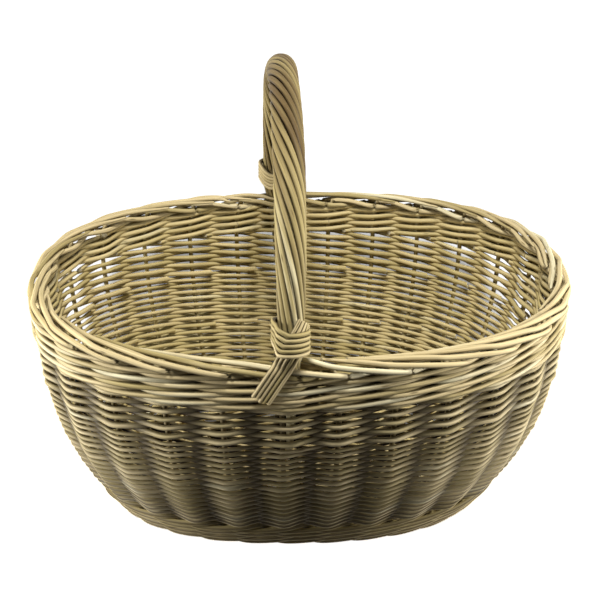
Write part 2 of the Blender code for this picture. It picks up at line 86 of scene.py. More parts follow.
# How far the cut at a rod's start and end is slanted, in radii
CUTS = {
    "stick": (1.2, 1.2),
    "base": (0.5, 0.5),
    "stake": (0, 1.6),
    "side": (0.9, 0.9),
    "wale": (0.6, 0.6),
    "tail": (-0.8, 0.8),
}
# Each group of pieces has its own run of random draws
SEED = 28
SEEDS = {
    "long_sticks": 10,
    "cross_sticks": 20,
    "base_weave": 30,
    "stakes": 100,
    "upsett": 200,
    "siding": 300,
    "top_wale": 400,
    "bow": 500,
    "rope": 501,
    "bindings": 600,
}

# The border's path, in stakes along the rim and in stake thicknesses out from the wall and up
BORDER_SHARES = [
    (0.12, -0.14, 1.0),
    (0.5, -0.8, 0.95),
    (1.0, -1.6, 0.23),
    (1.5, 0.0, -0.18),
    (2.0, 1.64, 0.34),
    (3.0, 1.3, 1.5),
    (3.5, 0.62, 1.98),
    (4.5, -0.6, 2.12),
    (5.5, -1.8, 1.8),
]
# Beside the handle's leg a rod swings clear: rows are moved to new places, and 1 or -1 is a leg's clearance.
# Rods that would run into the leg are cut short at it, before the row that is None.
LEG_SHARES = {
    1: {2: (0.85, -1, 0.45)},
    2: {3: (1.35, 0, -0.18), 4: (1.75, 1.06, 0.24)},
    3: {5: (2.8, 1.02, 1.45)},
    4: {5: (3.0, 0.64, 1.62), 6: (3.5, -0.3, 2.15), 7: (3.82, -1.1, 1.85), 8: None},
    5: {7: (4.3, -0.85, 1.9), 8: None},
    6: {8: (4.85, -0.99, 1.8)},
}
BORDER_TOP_SHARE = max(up for _, _, up in BORDER_SHARES)
BORDER_DIP_SHARE = -min(up for _, _, up in BORDER_SHARES)
BORDER_OUT_SHARE = max(out for _, out, _ in BORDER_SHARES)


def rgb(code):
    """A colour written as sRGB hex, turned to linear values."""
    shares = [int(code[place : place + 2], 16) / 255 for place in (1, 3, 5)]
    return [share / 12.92 if share <= 0.04045 else ((share + 0.055) / 1.055) ** 2.4 for share in shares]


def length(name, description, default):
    return FloatProperty(name=name, description=description, default=default, min=0.0001, unit="LENGTH")


def colour(name, description, code):
    return FloatVectorProperty(
        name=name, description=description, default=rgb(code), min=0, max=1, size=3, subtype="COLOR"
    )


class BasketSizes(bpy.types.PropertyGroup):
    rim_length: length("Rim length", "Outside length over the border", 0.455)
    rim_width: length("Rim width", "Outside width over the border", 0.376)
    rim_height: length("Rim height", "Floor to the top of the border", 0.212)
    handle_height: length("Handle height", "Floor to the top of the handle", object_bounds()[1][2])
    base_length: length("Base length", "Length of the ring of stakes at the foot", 0.308)
    base_width: length("Base width", "Width of the ring of stakes at the foot", 0.196)
    base_crown: length("Base crown", "Rise of the base at its middle", 0.004)
    base_shift: length("Base shift", "How far left of the rim's middle the base's middle lies", 0.004)
    foot_drop: length("Foot drop", "Height of the stakes' turn above the floor", 0.0068)
    base_middle: length("Base level", "Height of the base's middle plane at its edge", 0.0086)
    handle_shift: length("Handle shift", "How far left of the middle the handle's stakes stand", 0.0120)
    handle_lean: length("Handle lean", "How far right the top of the handle leans", 0.0035)
    bow_leg: length("Bow leg", "How deep the bow's ends reach below the rim", 0.080)
    stakes: IntProperty(name="Stakes", description="Number of stakes round the basket", default=28, min=8)
    stakes_right: IntProperty(name="Stakes right", description="Gaps right of the handle", default=15, min=4)


class RodSizes(bpy.types.PropertyGroup):
    gap: length("Gap", "Air between rods that pass each other", 0.0002)
    stake: length("Stake", "Thickness the border is laid out with", 0.0044)
    stake_butt: length("Stake butt", "Stake thickness at the foot", 0.0046)
    stake_tip: length("Stake tip", "Stake thickness at its cut end in the border", 0.0038)
    border: length("Border rod", "Stake thickness where it lies in the border", 0.0047)
    wale_butt: length("Wale butt", "Wale rod thickness at its butt", 0.0048)
    upsett_tip: length("Upsett tip", "Upsett rod thickness at its tip", 0.0040)
    top_wale_tip: length("Top wale tip", "Top wale rod thickness at its tip", 0.0041)
    base_stick: length("Base stick", "Thickness of the long base sticks", 0.0062)
    base_rod: length("Base rod", "Thickness of the base weavers", 0.0028)
    bow: length("Bow", "Thickness of the handle's bow", 0.0118)
    bow_tip: length("Bow tip", "Thickness of the bow's sharpened ends", 0.0050)
    rope: length("Rope", "Radius over the roped handle at its top", 0.0125)
    rope_foot: length("Rope foot", "Radius over the roped handle at its feet", 0.0102)
    strand: length("Strand", "Thickness of a handle strand at its top", 0.0049)
    strand_lay: length("Strand lay", "Length of handle for one turn of a strand at the top", 0.205)
    foot_lay: length("Foot lay", "Length of handle for one turn of a strand at the feet", 0.330)
    binding: length("Binding rod", "Thickness of a binding rod", 0.0036)
    tail: length("Tail", "Thickness of a binding rod's tail", 0.0031)
    strands: IntProperty(name="Strands", description="Strands round the handle", default=12, min=3)
    binding_rods: IntProperty(name="Binding rods", description="Rods in a binding", default=5, min=2)


class WillowColours(bpy.types.PropertyGroup):
    straw: colour("Straw", "Peeled willow, the common tone", "#d2bf90")
    cream: colour("Cream", "The palest rods", "#e2d8b2")
    olive: colour("Olive", "Rods that kept a green cast", "#ad9c69")
    # Ochre is also the golden tint painted on rods' inner sides for light bounced between them
    ochre: colour("Ochre", "Rods that turned golden", "#d6c386")
    brown: colour("Brown", "Knots, stains and the grain's dark lines", "#645233")
    pith: colour("Pith", "The wood inside a fresh cut", "#e6dcba")
    # A paler grey painted on the outside for the look of directly lit rods
    lit_grey: colour("Weathered", "The outside, greyed by light and hands", "#bdb190")
    # The dark brown painted as shade down between the rods
    shade_colour: colour("Hollow", "Dust and old stain down between the rods", "#1f1308")
    floor: colour("Floor", "The studio floor", "#ffffff")


# Lengths and curves


def smooth(rows, steps):
    """A smooth curve through rows of numbers, with so many steps between two rows."""
    rows = np.asarray(rows, float)
    padded = np.vstack([2 * rows[0] - rows[1], rows, 2 * rows[-1] - rows[-2]])
    share = np.linspace(0, 1, steps, endpoint=False)[:, None]
    runs = []
    for before, start, end, after in zip(padded, padded[1:], padded[2:], padded[3:]):
        bend = 2 * before - 5 * start + 4 * end - after
        twist = 3 * start - before - 3 * end + after
        runs.append(start + ((end - before) * share + bend * share**2 + twist * share**3) / 2)
    return np.vstack([*runs, rows[-1:]])


def ease(value, start=0, stop=1):
    """Goes smoothly from 0 at start to 1 at stop, which may be the lower of the two."""
    share = np.clip((value - start) / (stop - start), 0, 1)
    return share * share * (3 - 2 * share)


def unit(vectors):
    return vectors / np.linalg.norm(vectors, axis=-1, keepdims=True)


def travelled(points):
    """The length along a path at each of its points."""
    return np.concatenate([[0], np.cumsum(np.linalg.norm(np.diff(points, axis=0), axis=1))])


def towards(radial, direction):
    """How far each direction out from a rod's middle looks along the direction given for its ring."""
    return np.einsum("rsk,rk->rs", radial, direction)


def signed_power(value):
    return np.sign(value) * np.abs(value) ** (2 / PLAN_POWER)


class Wall:
    """The middle surface of the basket's side, which the stakes follow."""

    def __init__(self, sizes, rods):
        self.sizes = sizes
        self.rods = rods
        over_border = (2 * BORDER_OUT_SHARE + 1) * rods.stake
        self.foot = sizes.foot_drop
        self.top = sizes.rim_height - (BORDER_TOP_SHARE + 0.5) * rods.stake
        self.low = np.array([sizes.base_length, sizes.base_width]) / 2
        self.high = np.array([sizes.rim_length - over_border, sizes.rim_width - over_border]) / 2
        self.handle_stations = (0, sizes.stakes_right)
        mean = (self.low + self.high) / 2
        self.angles = np.linspace(0, 2 * math.pi, TABLE_STEPS + 1)
        around = signed_power(np.stack([np.sin(self.angles), np.cos(self.angles)], axis=1))
        self.arcs = travelled(mean * around)
        self.heights = np.linspace(self.foot, self.top, TABLE_STEPS)
        self.shift = -sizes.base_shift
        reach = self.reach(self.heights) * np.mean(self.high - self.low)
        self.climbs = travelled(np.stack([self.heights, reach], axis=1))

    def share(self, height):
        return np.clip((height - self.foot) / (self.top - self.foot), 0, 1)

    def reach(self, height):
        """Share of the flare reached at a height."""
        return 1 - (1 - self.share(height)) ** WALL_POWER

    def angle(self, station):
        """Stakes stand evenly on each side, from the front handle stake to the back one."""
        place = np.mod(station, self.sizes.stakes)
        half, shift, right = self.arcs[-1] / 2, self.sizes.handle_shift, self.sizes.stakes_right
        on_right = (half + 2 * shift) * place / right - shift
        left_share = (place - right) / (self.sizes.stakes - right)
        on_left = half + shift + (half - 2 * shift) * left_share
        arc = np.mod(np.where(place <= right, on_right, on_left), self.arcs[-1])
        return np.interp(arc, self.arcs, self.angles)

    def frames(self, station, height):
        """Points on the wall, with the outward, upward and anticlockwise directions there."""
        station, height = np.broadcast_arrays(np.asarray(station, float), np.asarray(height, float))
        angle, share = self.angle(station), self.share(height)
        half = self.low + (self.high - self.low) * self.reach(height)[..., None]
        plan = np.stack([signed_power(np.sin(angle)), -signed_power(np.cos(angle))], axis=-1)
        slant = unit(np.sign(plan) * np.abs(plan) ** (PLAN_POWER - 1) / half)
        rate = WALL_POWER * (1 - share) ** (WALL_POWER - 1) / (self.top - self.foot)
        flare = (plan * (self.high - self.low) - [self.shift, 0]) * rate[..., None]
        up = unit(np.concatenate([flare, np.ones_like(flare[..., :1])], axis=-1))
        along = np.stack([-slant[..., 1], slant[..., 0], np.zeros_like(angle)], axis=-1)
        point = np.concatenate([plan * half, height[..., None]], axis=-1)
        point[..., 0] += self.shift * (1 - self.reach(height))
        return point, unit(np.cross(along, up)), up, along

    def place(self, station, height, out=0.0, up=0.0, along=0.0):
        point, normal, slope, round_way = self.frames(station, height)
        offsets = [np.asarray(offset, float)[..., None] for offset in (out, up, along)]
        return point + normal * offsets[0] + slope * offsets[1] + round_way * offsets[2]

    def height(self, climb):
        return np.interp(climb, self.climbs, self.heights)

    def leg_thick(self, height):
        """The leg is cut to a long slype that tapers down through the weave."""
        share = np.clip((self.sizes.rim_height - height) / self.sizes.bow_leg, 0, 1)
        return self.rods.bow + (self.rods.bow_tip - self.rods.bow) * share

    def leg_offset(self, height):
        return (self.rods.stake + self.leg_thick(height)) / 2 + 2 * self.rods.gap


# How far left of its leg the front of the roping sits
FRONT_FOOT_LEFT = 0.0014


class Arch:
    """The handle's middle line, from the front foot to the back foot."""

    def __init__(self, wall):
        self.wall = wall
        self.rim = wall.sizes.rim_height
        self.rise = wall.sizes.handle_height - wall.rods.rope - self.rim
        aside = wall.leg_offset(self.rim)
        self.front, self.back = (wall.place(foot, self.rim, along=aside) for foot in wall.handle_stations)
        self.front[0] -= FRONT_FOOT_LEFT
        self.side = unit(np.cross(self.back - self.front, [0, 0, 1]))
        self.turns = np.linspace(0, math.pi, TABLE_STEPS)
        self.lengths = travelled(self.points(self.turns))
        self.length = self.lengths[-1]

    def points(self, turns):
        across = (1 - np.cos(turns))[..., None] / 2
        points = self.front + (self.back - self.front) * across
        points[..., 0] += self.wall.sizes.handle_lean * np.sin(turns)
        points[..., 2] = self.rim + self.rise * np.sin(turns)
        return points

    def frames(self, length):
        """Points and outward directions at lengths from the front foot. Past a foot the line runs down."""
        length = np.asarray(length, float)
        turns = np.interp(length, self.lengths, self.turns)
        points = self.points(turns)
        points[..., 2] += np.minimum(length, 0) + np.minimum(self.length - length, 0)
        across = (self.back - self.front) * (np.sin(turns) / 2)[..., None]
        across[..., 2] = self.rise * np.cos(turns)
        return points, unit(np.cross(self.side, across))

    def round(self, length, turn, radius):
        """Points at an angle round the handle, which runs from its right side over its outer face."""
        points, out = self.frames(length)
        radial = self.side * np.cos(turn)[..., None] + out * np.sin(turn)[..., None]
        return points + radial * np.asarray(radius, float)[..., None], radial


# Rods


# What the material reads at each point of a rod, besides its place in the grain
FACTS = ("tone", "depth", "inward", "cut")
# How far apart two rods may lie in the grain's pattern
GRAIN_RANGE = 100


class Rods:
    """Round rods gathered into one mesh, with what the willow material reads at each point."""

    def __init__(self, name, group, number=0):
        self.name = name
        self.random = np.random.default_rng(SEED + SEEDS[group] + number)
        self.verts, self.faces, self.values = [], [], []
        self.count = 0

    def vary(self, low, high):
        return self.random.uniform(low, high)

    def add(self, points, radii, facing, sides=ROD_SIDES, slant=(0, 0), inward=0, depth=0, tone=None):
        """One rod along points. facing is where its side 0 looks, and slant tilts the cut at each end.

        inward is how far its skin looks into the basket, where the material paints a golden tint for bounced
        light, and depth how deep it lies between its neighbours, where the material paints shade.
        Either may be a function of the directions out from the rod's middle."""
        points = np.asarray(points, float)
        rings = len(points)
        radii = np.broadcast_to(np.asarray(radii, float), (rings,))
        ahead = unit(np.gradient(points, axis=0))
        across = unit(np.cross(ahead, np.broadcast_to(facing, points.shape)))
        facing = np.cross(across, ahead)
        turns = np.linspace(0, 2 * math.pi, sides, endpoint=False)
        radial = facing[:, None] * np.cos(turns)[:, None] + across[:, None] * np.sin(turns)[:, None]
        skin = points[:, None] + radial * radii[:, None, None]
        for end, tilt in zip((0, -1), slant):
            skin[end] += ahead[end] * (radii[end] * tilt * np.cos(turns))[:, None]
        # The place in the grain fills the first three columns, and the facts follow in their order
        values = np.zeros((rings, sides, 3 + len(FACTS)))
        values[..., 3] = self.vary(0, 1) if tone is None else tone
        values[..., 0] = radii[:, None] * np.cos(turns)
        values[..., 1] = radii[:, None] * np.sin(turns)
        values[..., 2] = travelled(points)[:, None]
        values[..., :3] += self.random.uniform(0, GRAIN_RANGE, 3)
        values[..., 4] = depth(radial) if callable(depth) else depth
        values[..., 5] = inward(radial) if callable(inward) else inward
        ends = values[[0, -1]]
        ends[..., 6] = 1
        self.verts.append(np.concatenate([skin.reshape(-1, 3), skin[0], skin[-1]]))
        self.values.append(np.concatenate([values.reshape(-1, 3 + len(FACTS)), *ends]))
        ring = np.arange(rings - 1)[:, None] * sides
        corner = np.arange(sides)
        after = (corner + 1) % sides
        quads = np.stack([ring + after, ring + corner, ring + sides + corner, ring + sides + after], axis=-1)
        self.faces += (quads.reshape(-1, 4) + self.count).tolist()
        caps = self.count + rings * sides
        self.faces.append((caps + corner).tolist())
        self.faces.append((caps + sides + corner[::-1]).tolist())
        self.count = caps + 2 * sides

    def build(self, material, *replaced):
        """Makes the piece, which stands for its solids and hides them."""
        mesh = bpy.data.meshes.new(self.name)
        mesh.from_pydata(np.concatenate(self.verts), [], self.faces)
        values = np.concatenate(self.values).astype(np.float32)
        grain = mesh.attributes.new("rod_grain", "FLOAT_VECTOR", "POINT")
        grain.data.foreach_set("vector", values[:, :3].ravel())
        for column, fact in enumerate(FACTS):
            attribute = mesh.attributes.new(f"rod_{fact}", "FLOAT", "POINT")
            attribute.data.foreach_set("value", values[:, 3 + column].copy())
        mesh.shade_smooth()
        mesh.materials.append(material)
        piece = bpy.data.objects.new(self.name, mesh)
        bpy.context.scene.collection.objects.link(piece)
        dress(piece, *replaced)


def dress(piece, *replaced):
    """Ties a piece to the basket's one body and hides the solids that it stands for."""
    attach(piece, "root")
    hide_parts(*replaced)


def flanks(outward, start, stop):
    """The depth of a rod's flanks, down in the valleys between it and its neighbours, which the material
    paints as shade.
    """
    return lambda radial: ease(towards(radial, outward), start, stop)


def lettered(prefix, letters):
    return [f"{prefix}_{letter}" for letter in letters]


def numbered(prefix, count, digits=1):
    return [f"{prefix}_{number:0{digits}d}" for number in range(1, count + 1)]


# Materials


def connect(tree, node, sockets):
    """Gives each of a node's sockets a value, or a link from a node or from one of its outputs."""
    for name, value in sockets.items():
        if isinstance(value, bpy.types.Node):
            value = next(output for output in value.outputs if output.enabled)
        if isinstance(value, bpy.types.NodeSocket):
            tree.links.new(value, node.inputs[name])
        else:
            node.inputs[name].default_value = value


def add(tree, kind, sockets=None, stops=(), **settings):
    """Adds a shader node with its settings and links."""
    node = tree.nodes.new(f"ShaderNode{kind}")
    for name, value in settings.items():
        setattr(node, name, value)
    for place, (position, shade) in enumerate(stops):
        elements = node.color_ramp.elements
        element = elements[place] if place < len(elements) else elements.new(position)
        element.position = position
        element.color = (*shade, 1)
    connect(tree, node, sockets or {})
    return node


# The Mix node's inputs for its share and for the two colours that it mixes
SHARE, FIRST, SECOND = 0, 6, 7
# Repeats of a pattern in a metre, twice across a rod and once along it: streaks half a millimetre across and
# 40 mm long, patches of tone 60 mm long, and bud scars 35 mm apart
STREAKS = (2000, 2000, 25)
PATCHES = (150, 150, 17)
BUDS = (160, 160, 28)
# How far the patches move a rod's tone
TONE_DRIFT = 0.7
# The streaks' shades, and how strongly they show
STREAK_SHADES = [(0.30, "#8f8166"), (0.55, "#ffffff")]
STREAK_SHARE = 0.5
# A bud scar is 2 to 3 mm long: where it is full and where it ends, as shares of the scars' spacing
SCAR_EDGE = (0.05, 0.13)
SCAR_SHARE = 0.75
# Painted shade grows with depth to this power, and the inside has this share of the outside's
SHADE_POWER = 1.05
INSIDE_SHADE = 0.08
# The pores of a cut end are half as wide as the streaks and run from dark to pale between these shares
PORE_SCALE = 2.0
PORE_EDGE = (0.35, 0.55)
# Satin skin: its roughness where it is smoothest, what the patches add, and a dull sheen
ROUGHNESS = 0.46
ROUGHNESS_DRIFT = 0.16
SHEEN = 0.12
RELIEF = {"Strength": 0.35, "Distance": 0.0002}


def peeled_willow(piece, tones, bounce_tint=0.5, lit_grey=0.0, painted_shade=0.9):
    """Willow boiled, peeled and dried: a satin skin with fine long streaks and bud scars.

    Painted shade darkens the hollows of the weave, a paler grey painted on the outside stands in for directly
    lit rods, and a golden tint painted on the inside stands in for light bounced between the rods."""
    colours = bpy.context.scene.willow_colours
    material = bpy.data.materials.new(f"peeled_willow_{piece}")
    material.use_nodes = True
    tree = material.node_tree
    facts = {fact: add(tree, "Attribute", attribute_name=f"rod_{fact}").outputs["Fac"] for fact in FACTS}
    grain = add(tree, "Attribute", attribute_name="rod_grain").outputs["Vector"]
    places = [add(tree, "Mapping", {"Vector": grain, "Scale": scale}) for scale in (STREAKS, PATCHES, BUDS)]
    streak = add(tree, "TexNoise", {"Vector": places[0], "Scale": 1.0, "Detail": 3.0})
    patch = add(tree, "TexNoise", {"Vector": places[1], "Scale": 1.0, "Detail": 2.0})
    bud = add(tree, "TexVoronoi", {"Vector": places[2], "Scale": 1.0})

    drift = add(tree, "Math", {0: patch, 1: TONE_DRIFT, 2: -TONE_DRIFT / 2}, operation="MULTIPLY_ADD")
    shade = add(tree, "Math", {0: facts["tone"], 1: drift}, operation="ADD")
    body = add(tree, "ValToRGB", {"Fac": shade}, [(place, getattr(colours, tone)) for place, tone in tones])
    golden = add(tree, "Math", {0: facts["inward"], 1: bounce_tint}, operation="MULTIPLY")
    greyed = add(tree, "MapRange", {"Value": facts["inward"], 3: lit_grey, 4: 0.0})
    lines = add(tree, "ValToRGB", {"Fac": streak}, [(place, rgb(code)) for place, code in STREAK_SHADES])
    scar = add(tree, "MapRange", {"Value": bud, 1: SCAR_EDGE[0], 2: SCAR_EDGE[1], 3: SCAR_SHARE, 4: 0.0})
    # Painted shade darkens the outside's hollows, and less of it inside
    shade_mask = add(tree, "Math", {0: facts["depth"], 1: SHADE_POWER}, operation="POWER")
    shade_by_side = add(tree, "MapRange", {"Value": facts["inward"], 3: painted_shade, 4: INSIDE_SHADE * painted_shade})
    shade_mask = add(tree, "Math", {0: shade_mask, 1: shade_by_side}, operation="MULTIPLY")
    pores = add(tree, "TexNoise", {"Vector": places[0], "Scale": PORE_SCALE})
    face = add(tree, "ValToRGB", {"Fac": pores}, zip(PORE_EDGE, (colours.brown, colours.pith)))
    layers = [
        # Golden tint painted on the inside for bounced light
        (golden, (*colours.ochre, 1), "MIX"),
        # Paler grey painted on the outside for directly lit rods
        (greyed, (*colours.lit_grey, 1), "MIX"),
        (STREAK_SHARE, lines, "MULTIPLY"),
        (scar, (*colours.brown, 1), "MIX"),
        # Painted shade, darkest in the weave's hollows
        (shade_mask, (*colours.shade_colour, 1), "MIX"),
        (facts["cut"], face, "MIX"),
    ]
    for share, layer, blend in layers:
        sockets = {SHARE: share, FIRST: body, SECOND: layer}
        body = add(tree, "Mix", sockets, data_type="RGBA", blend_type=blend)
    gloss = add(tree, "Math", {0: patch, 1: ROUGHNESS_DRIFT, 2: ROUGHNESS}, operation="MULTIPLY_ADD")
    bump = add(tree, "Bump", {"Height": streak, **RELIEF})
    skin = {"Base Color": body, "Roughness": gloss, "Normal": bump, "Specular IOR Level": SHEEN}
    connect(tree, tree.nodes["Principled BSDF"], skin)
    return material


# The weave


# How deep the hollows of the weave go from its skin
WEAVE_DEPTH = 0.0062
# A skin's tone turns from the outside's paler grey, painted for directly lit rods, to the inside's golden
# tint, painted for bounced light, between these shares of looking out
INWARD = (0.5, -0.5)
# The rod below hides a flank, which is painted as shade: how much it counts that the flank looks out or up,
# and where it is seen and where it is hidden
FLANK_OUT = 0.8
FLANK_UP = 0.6
FLANK_EDGE = (0.75, -0.15)
# Low on the wall the rod above shades a rod's upper side: shares of looking up, and heights above the floor
UPPER_SIDE = (-0.1, 0.45)
LOW_HEIGHTS = (0.14, 0.03)


def pass_by(wall, station, height, radius):
    """How far out a rod's middle passes a stake, and how far along from the stake."""
    stake = wall.rods.stake_butt / 2
    out, along = stake + radius + wall.rods.gap, 0.0
    if station % wall.sizes.stakes in wall.handle_stations:
        depth = height - (wall.sizes.rim_height - wall.sizes.bow_leg)
        if depth > -2 * radius:
            reach = wall.leg_thick(height) / 2 + radius + 3 * wall.rods.gap
            out, along = max(out, reach), wall.leg_offset(height)
    return out, along


def lay(weave, wall, rows, steps, slant):
    """Lays a rod from rows of (station, climb, out, up, along, radius)."""
    station, climb, out, up, along, radius = smooth(rows, steps).T
    height = wall.height(climb)
    _, normal, slope, _ = wall.frames(station, height)

    # The golden tint painted for bounced light follows the skin that looks into the basket
    def inward(radial):
        return ease(towards(radial, normal), *INWARD)

    def depth(radial):
        """Painted shade: deep towards the wall's middle, on a hidden flank, and low down under the rod above.
        """
        outward, above = towards(radial, normal), towards(radial, slope)
        from_skin = (out[:, None] + radius[:, None] * outward) * np.sign(outward) / WEAVE_DEPTH
        hidden = ease(FLANK_OUT * np.abs(outward) + FLANK_UP * above, *FLANK_EDGE)
        shaded = ease(above, *UPPER_SIDE) * ease(height[:, None], *LOW_HEIGHTS)
        return np.maximum.reduce([1 - ease(from_skin), hidden, shaded])

    places = wall.place(station, height, out, up, along)
    weave.add(places, radius, normal, slant=slant, inward=inward, depth=depth)


# Siding: where a rod's bend round a stake ends, as a share of a gap, and how far its levels stray
BEND = 0.3
STRAY = 0.00025
# How far a rod's butt and tip reach past their stakes, in gaps
BUTT_REACH = (0.30, 0.42)
TIP_REACH = (0.62, 0.72)
# How far the butt lies below its level, in thicknesses, and how much further in than its first pass
BUTT_DROP = 0.1
BUTT_IN = 0.0004
# How far the tip lies above its level and behind the wall's middle, in thicknesses
TIP_RISE = 0.5
TIP_IN = 0.4


def randed(weave, wall, first, levels, thick):
    """One siding rod, from its butt inside stake first, in front of every second one, a level up at each.

    It bends sharply round each stake and runs straight between two."""
    passes = []
    for step, (climb, width) in enumerate(zip(levels, thick)):
        out, along = pass_by(wall, first + step, float(wall.height(climb)), width / 2)
        side = 1 if step % 2 else -1
        shift = STRAY * weave.vary(-1, 1)
        passes.append(np.array([first + step, climb + shift, side * (out + abs(shift)), 0, along, width / 2]))
    rows = [passes[0]]
    for start, end in zip(passes, passes[1:]):
        rows += [start * (1 - share) + end * share for share in (BEND, 1 - BEND, 1)]
    lead, tail = rows[0].copy(), rows[-1].copy()
    lead[:3] -= weave.vary(*BUTT_REACH), BUTT_DROP * thick[0], BUTT_IN
    tail[0] += weave.vary(*TIP_REACH)
    tail[1] += TIP_RISE * thick[-1]
    tail[2] = -TIP_IN * thick[-1]
    lay(weave, wall, [lead, *rows, tail], RANDED_STEPS, CUTS["side"])


# Waling: its rods, the station where it starts, and how many rises one round lies above the last
WALE_RODS = 3
WALE_START = 20
WALE_ROUND = 4
# How far a rod is pressed in where it goes under the next one, in radii
WALE_TUCK = 0.25
# How much the lengths it is pieced from vary, and the shortest one, in gaps
WALE_RUNS = (0.8, 1.2)
WALE_SHORTEST = 6
# The upsett's rounds, its rise, its lowest climb and the gaps that a rod lasts
UPSETT_TURNS = 4
UPSETT_RISE = 0.0024
UPSETT_CLIMB = 0.0024
UPSETT_RUN = 20
# The top wale's, and how far it is pressed up against the border
TOP_WALE_TURNS = 4
TOP_WALE_RISE = 0.00172
TOP_WALE_RUN = 18
BORDER_PRESS = 0.0012
# How far the siding starts above the upsett's topmost line and ends below the top wale's lowest
SIDE_START = 0.0021
SIDE_END = 0.0012


def wale_rows(wall, first, start, stop, climb, rise, butt, tip):
    """Rows for a wale rod: behind one stake and in front of two, each round a step above the last."""
    stakes = wall.sizes.stakes
    rows = []
    for step in range(start, stop):
        station = WALE_START + step
        level = climb + WALE_ROUND * rise * (step // stakes)
        share = (step - start) / max(stop - start - 1, 1)
        radius = (butt + (tip - butt) * share) / 2
        out, along = pass_by(wall, station, float(wall.height(level)), radius)
        phase = (step - first) % WALE_RODS
        place, up = ((-out, 0), (out, -rise), (out - WALE_TUCK * radius, rise))[phase]
        rows.append([station, level, place, up, along, radius])
        if phase != 1 and step < stop - 1:
            half_way = (level + climb + WALE_ROUND * rise * ((step + 1) // stakes)) / 2
            rows.append([station + 0.5, half_way, 0, rise if phase else -rise, 0, radius])
    return rows


def wale(weave, wall, turns, climb, rise, thick, run):
    """Three rods chase each other round the wall. Each is pieced from lengths that meet behind a stake."""
    last = turns * wall.sizes.stakes
    for first in range(WALE_RODS):
        start, ends = first, thick
        while start < last:
            stop = start + WALE_RODS * round(weave.vary(*WALE_RUNS) * run / WALE_RODS) + 1
            if last - stop < WALE_SHORTEST:
                stop = last
            rows = wale_rows(wall, first, start, stop, climb, rise, *ends)
            lay(weave, wall, rows, STATION_STEPS, CUTS["wale"])
            ends = ends[::-1]
            start = stop - 1 if stop < last else last


def top_wale_climb(wall):
    top = wall.climbs[-1] - (BORDER_DIP_SHARE + 0.5) * wall.rods.stake
    return top + BORDER_PRESS - TOP_WALE_RISE - WALE_ROUND * TOP_WALE_RISE * (TOP_WALE_TURNS - 1)


def side_range(wall):
    """Climbs between which the siding lies."""
    low = UPSETT_CLIMB + WALE_ROUND * UPSETT_RISE * (UPSETT_TURNS - 1) + UPSETT_RISE + SIDE_START
    return low, top_wale_climb(wall) - TOP_WALE_RISE - SIDE_END


# Bands of the siding: name, levels, butt thickness and tip thickness. An even count keeps the bands in step
BANDS = [
    ("lower", 18, 0.0036, 0.0030),
    ("middle", 16, 0.0035, 0.0027),
    ("upper", 10, 0.0042, 0.0033),
]
# How soon a rod thins, where 1 is evenly
TAPER_POWER = 0.8
# Thicknesses drawn, as shares of a level: rods give where they are pressed together
PRESSED = (1.06, 1.18)


def stack(butt, tip, count, pack):
    """Thicknesses from butt to tip for each level of a band, and the climb of each level's middle."""
    thick = butt + (tip - butt) * np.linspace(0, 1, count) ** TAPER_POWER
    tops = np.cumsum(thick * pack)
    return thick, tops - thick * pack / 2, tops[-1]


# The base


CROSS_STICKS = 4
LONG_STICKS = 3
# Cross sticks: thickness, height over the slit, spacing, points drawn, and where the slit starts and is open
CROSS_STICK_THICK = 0.0066
CROSS_STICK_WAIST = 0.0150
CROSS_STICK_SPACING = 0.060
CROSS_STICK_POINTS = 41
SLIT_OPENS = (0.0160, 0.0105)
# Air between long sticks, how far past them the weave starts, and where their ends begin to fan out
STICK_GAP = 0.0003
CORE_MARGIN = 0.0075
LONG_CORE_GAP = 0.020
FAN_WIDTH = 0.018
# How far inside the ring of stakes the sticks end
BASE_EDGE_INSET = 0.0070
# Turns of each base weaver, and how many turns one rod lasts
BASE_TURNS = 10
BASE_RUN = 1.5


def stick_pitch(rods):
    return rods.base_stick + STICK_GAP


def cross_stick_x(sizes, number):
    return CROSS_STICK_SPACING * (number - (CROSS_STICKS - 1) / 2) - sizes.base_shift


def crown(sizes, x, y):
    """The base rises a little towards its middle."""
    share = (2 * (x + sizes.base_shift) / sizes.base_length) ** 2 + (2 * y / sizes.base_width) ** 2
    return sizes.base_middle + sizes.base_crown * max(0, 1 - share)


def spoke_lines(wall):
    """For each stick end, in the order of the stations: where the weave starts on it and its tip."""
    sizes = wall.sizes
    half_length = sizes.base_length / 2 - BASE_EDGE_INSET
    half_width = sizes.base_width / 2 - BASE_EDGE_INSET
    core = LONG_STICKS * stick_pitch(wall.rods) / 2 + CORE_MARGIN
    spokes = sizes.stakes // 2
    half = CROSS_STICKS // 2
    lines = [None] * spokes
    for number in range(CROSS_STICKS):
        x = cross_stick_x(sizes, number)
        edge = half_width * (1 - abs((x + sizes.base_shift) / half_length) ** PLAN_POWER) ** (1 / PLAN_POWER)
        lines[(number - half) % spokes] = ((x, -core), (x, -edge))
        lines[half + LONG_STICKS + CROSS_STICKS - 1 - number] = ((x, core), (x, edge))
    for number in range(LONG_STICKS):
        lane = (number - (LONG_STICKS - 1) / 2) * FAN_WIDTH
        right = (half + number, cross_stick_x(sizes, CROSS_STICKS - 1) + LONG_CORE_GAP)
        left = (spokes - half - 1 - number, cross_stick_x(sizes, 0) - LONG_CORE_GAP)
        for spoke, start in (right, left):
            # A stick end points between its two stakes
            angle = wall.angle(2 * spoke + 1.5)
            tip = half_length * signed_power(np.sin(angle)), -half_width * signed_power(np.cos(angle))
            lines[spoke] = ((start, lane), (float(tip[0]) - sizes.base_shift, float(tip[1])))
    return lines


# Operators


class WeaveOperator:
    bl_options = {"REGISTER", "UNDO"}

    def execute(self, context):
        self.make(Wall(context.scene.basket_sizes, context.scene.rod_sizes))
        return {"FINISHED"}


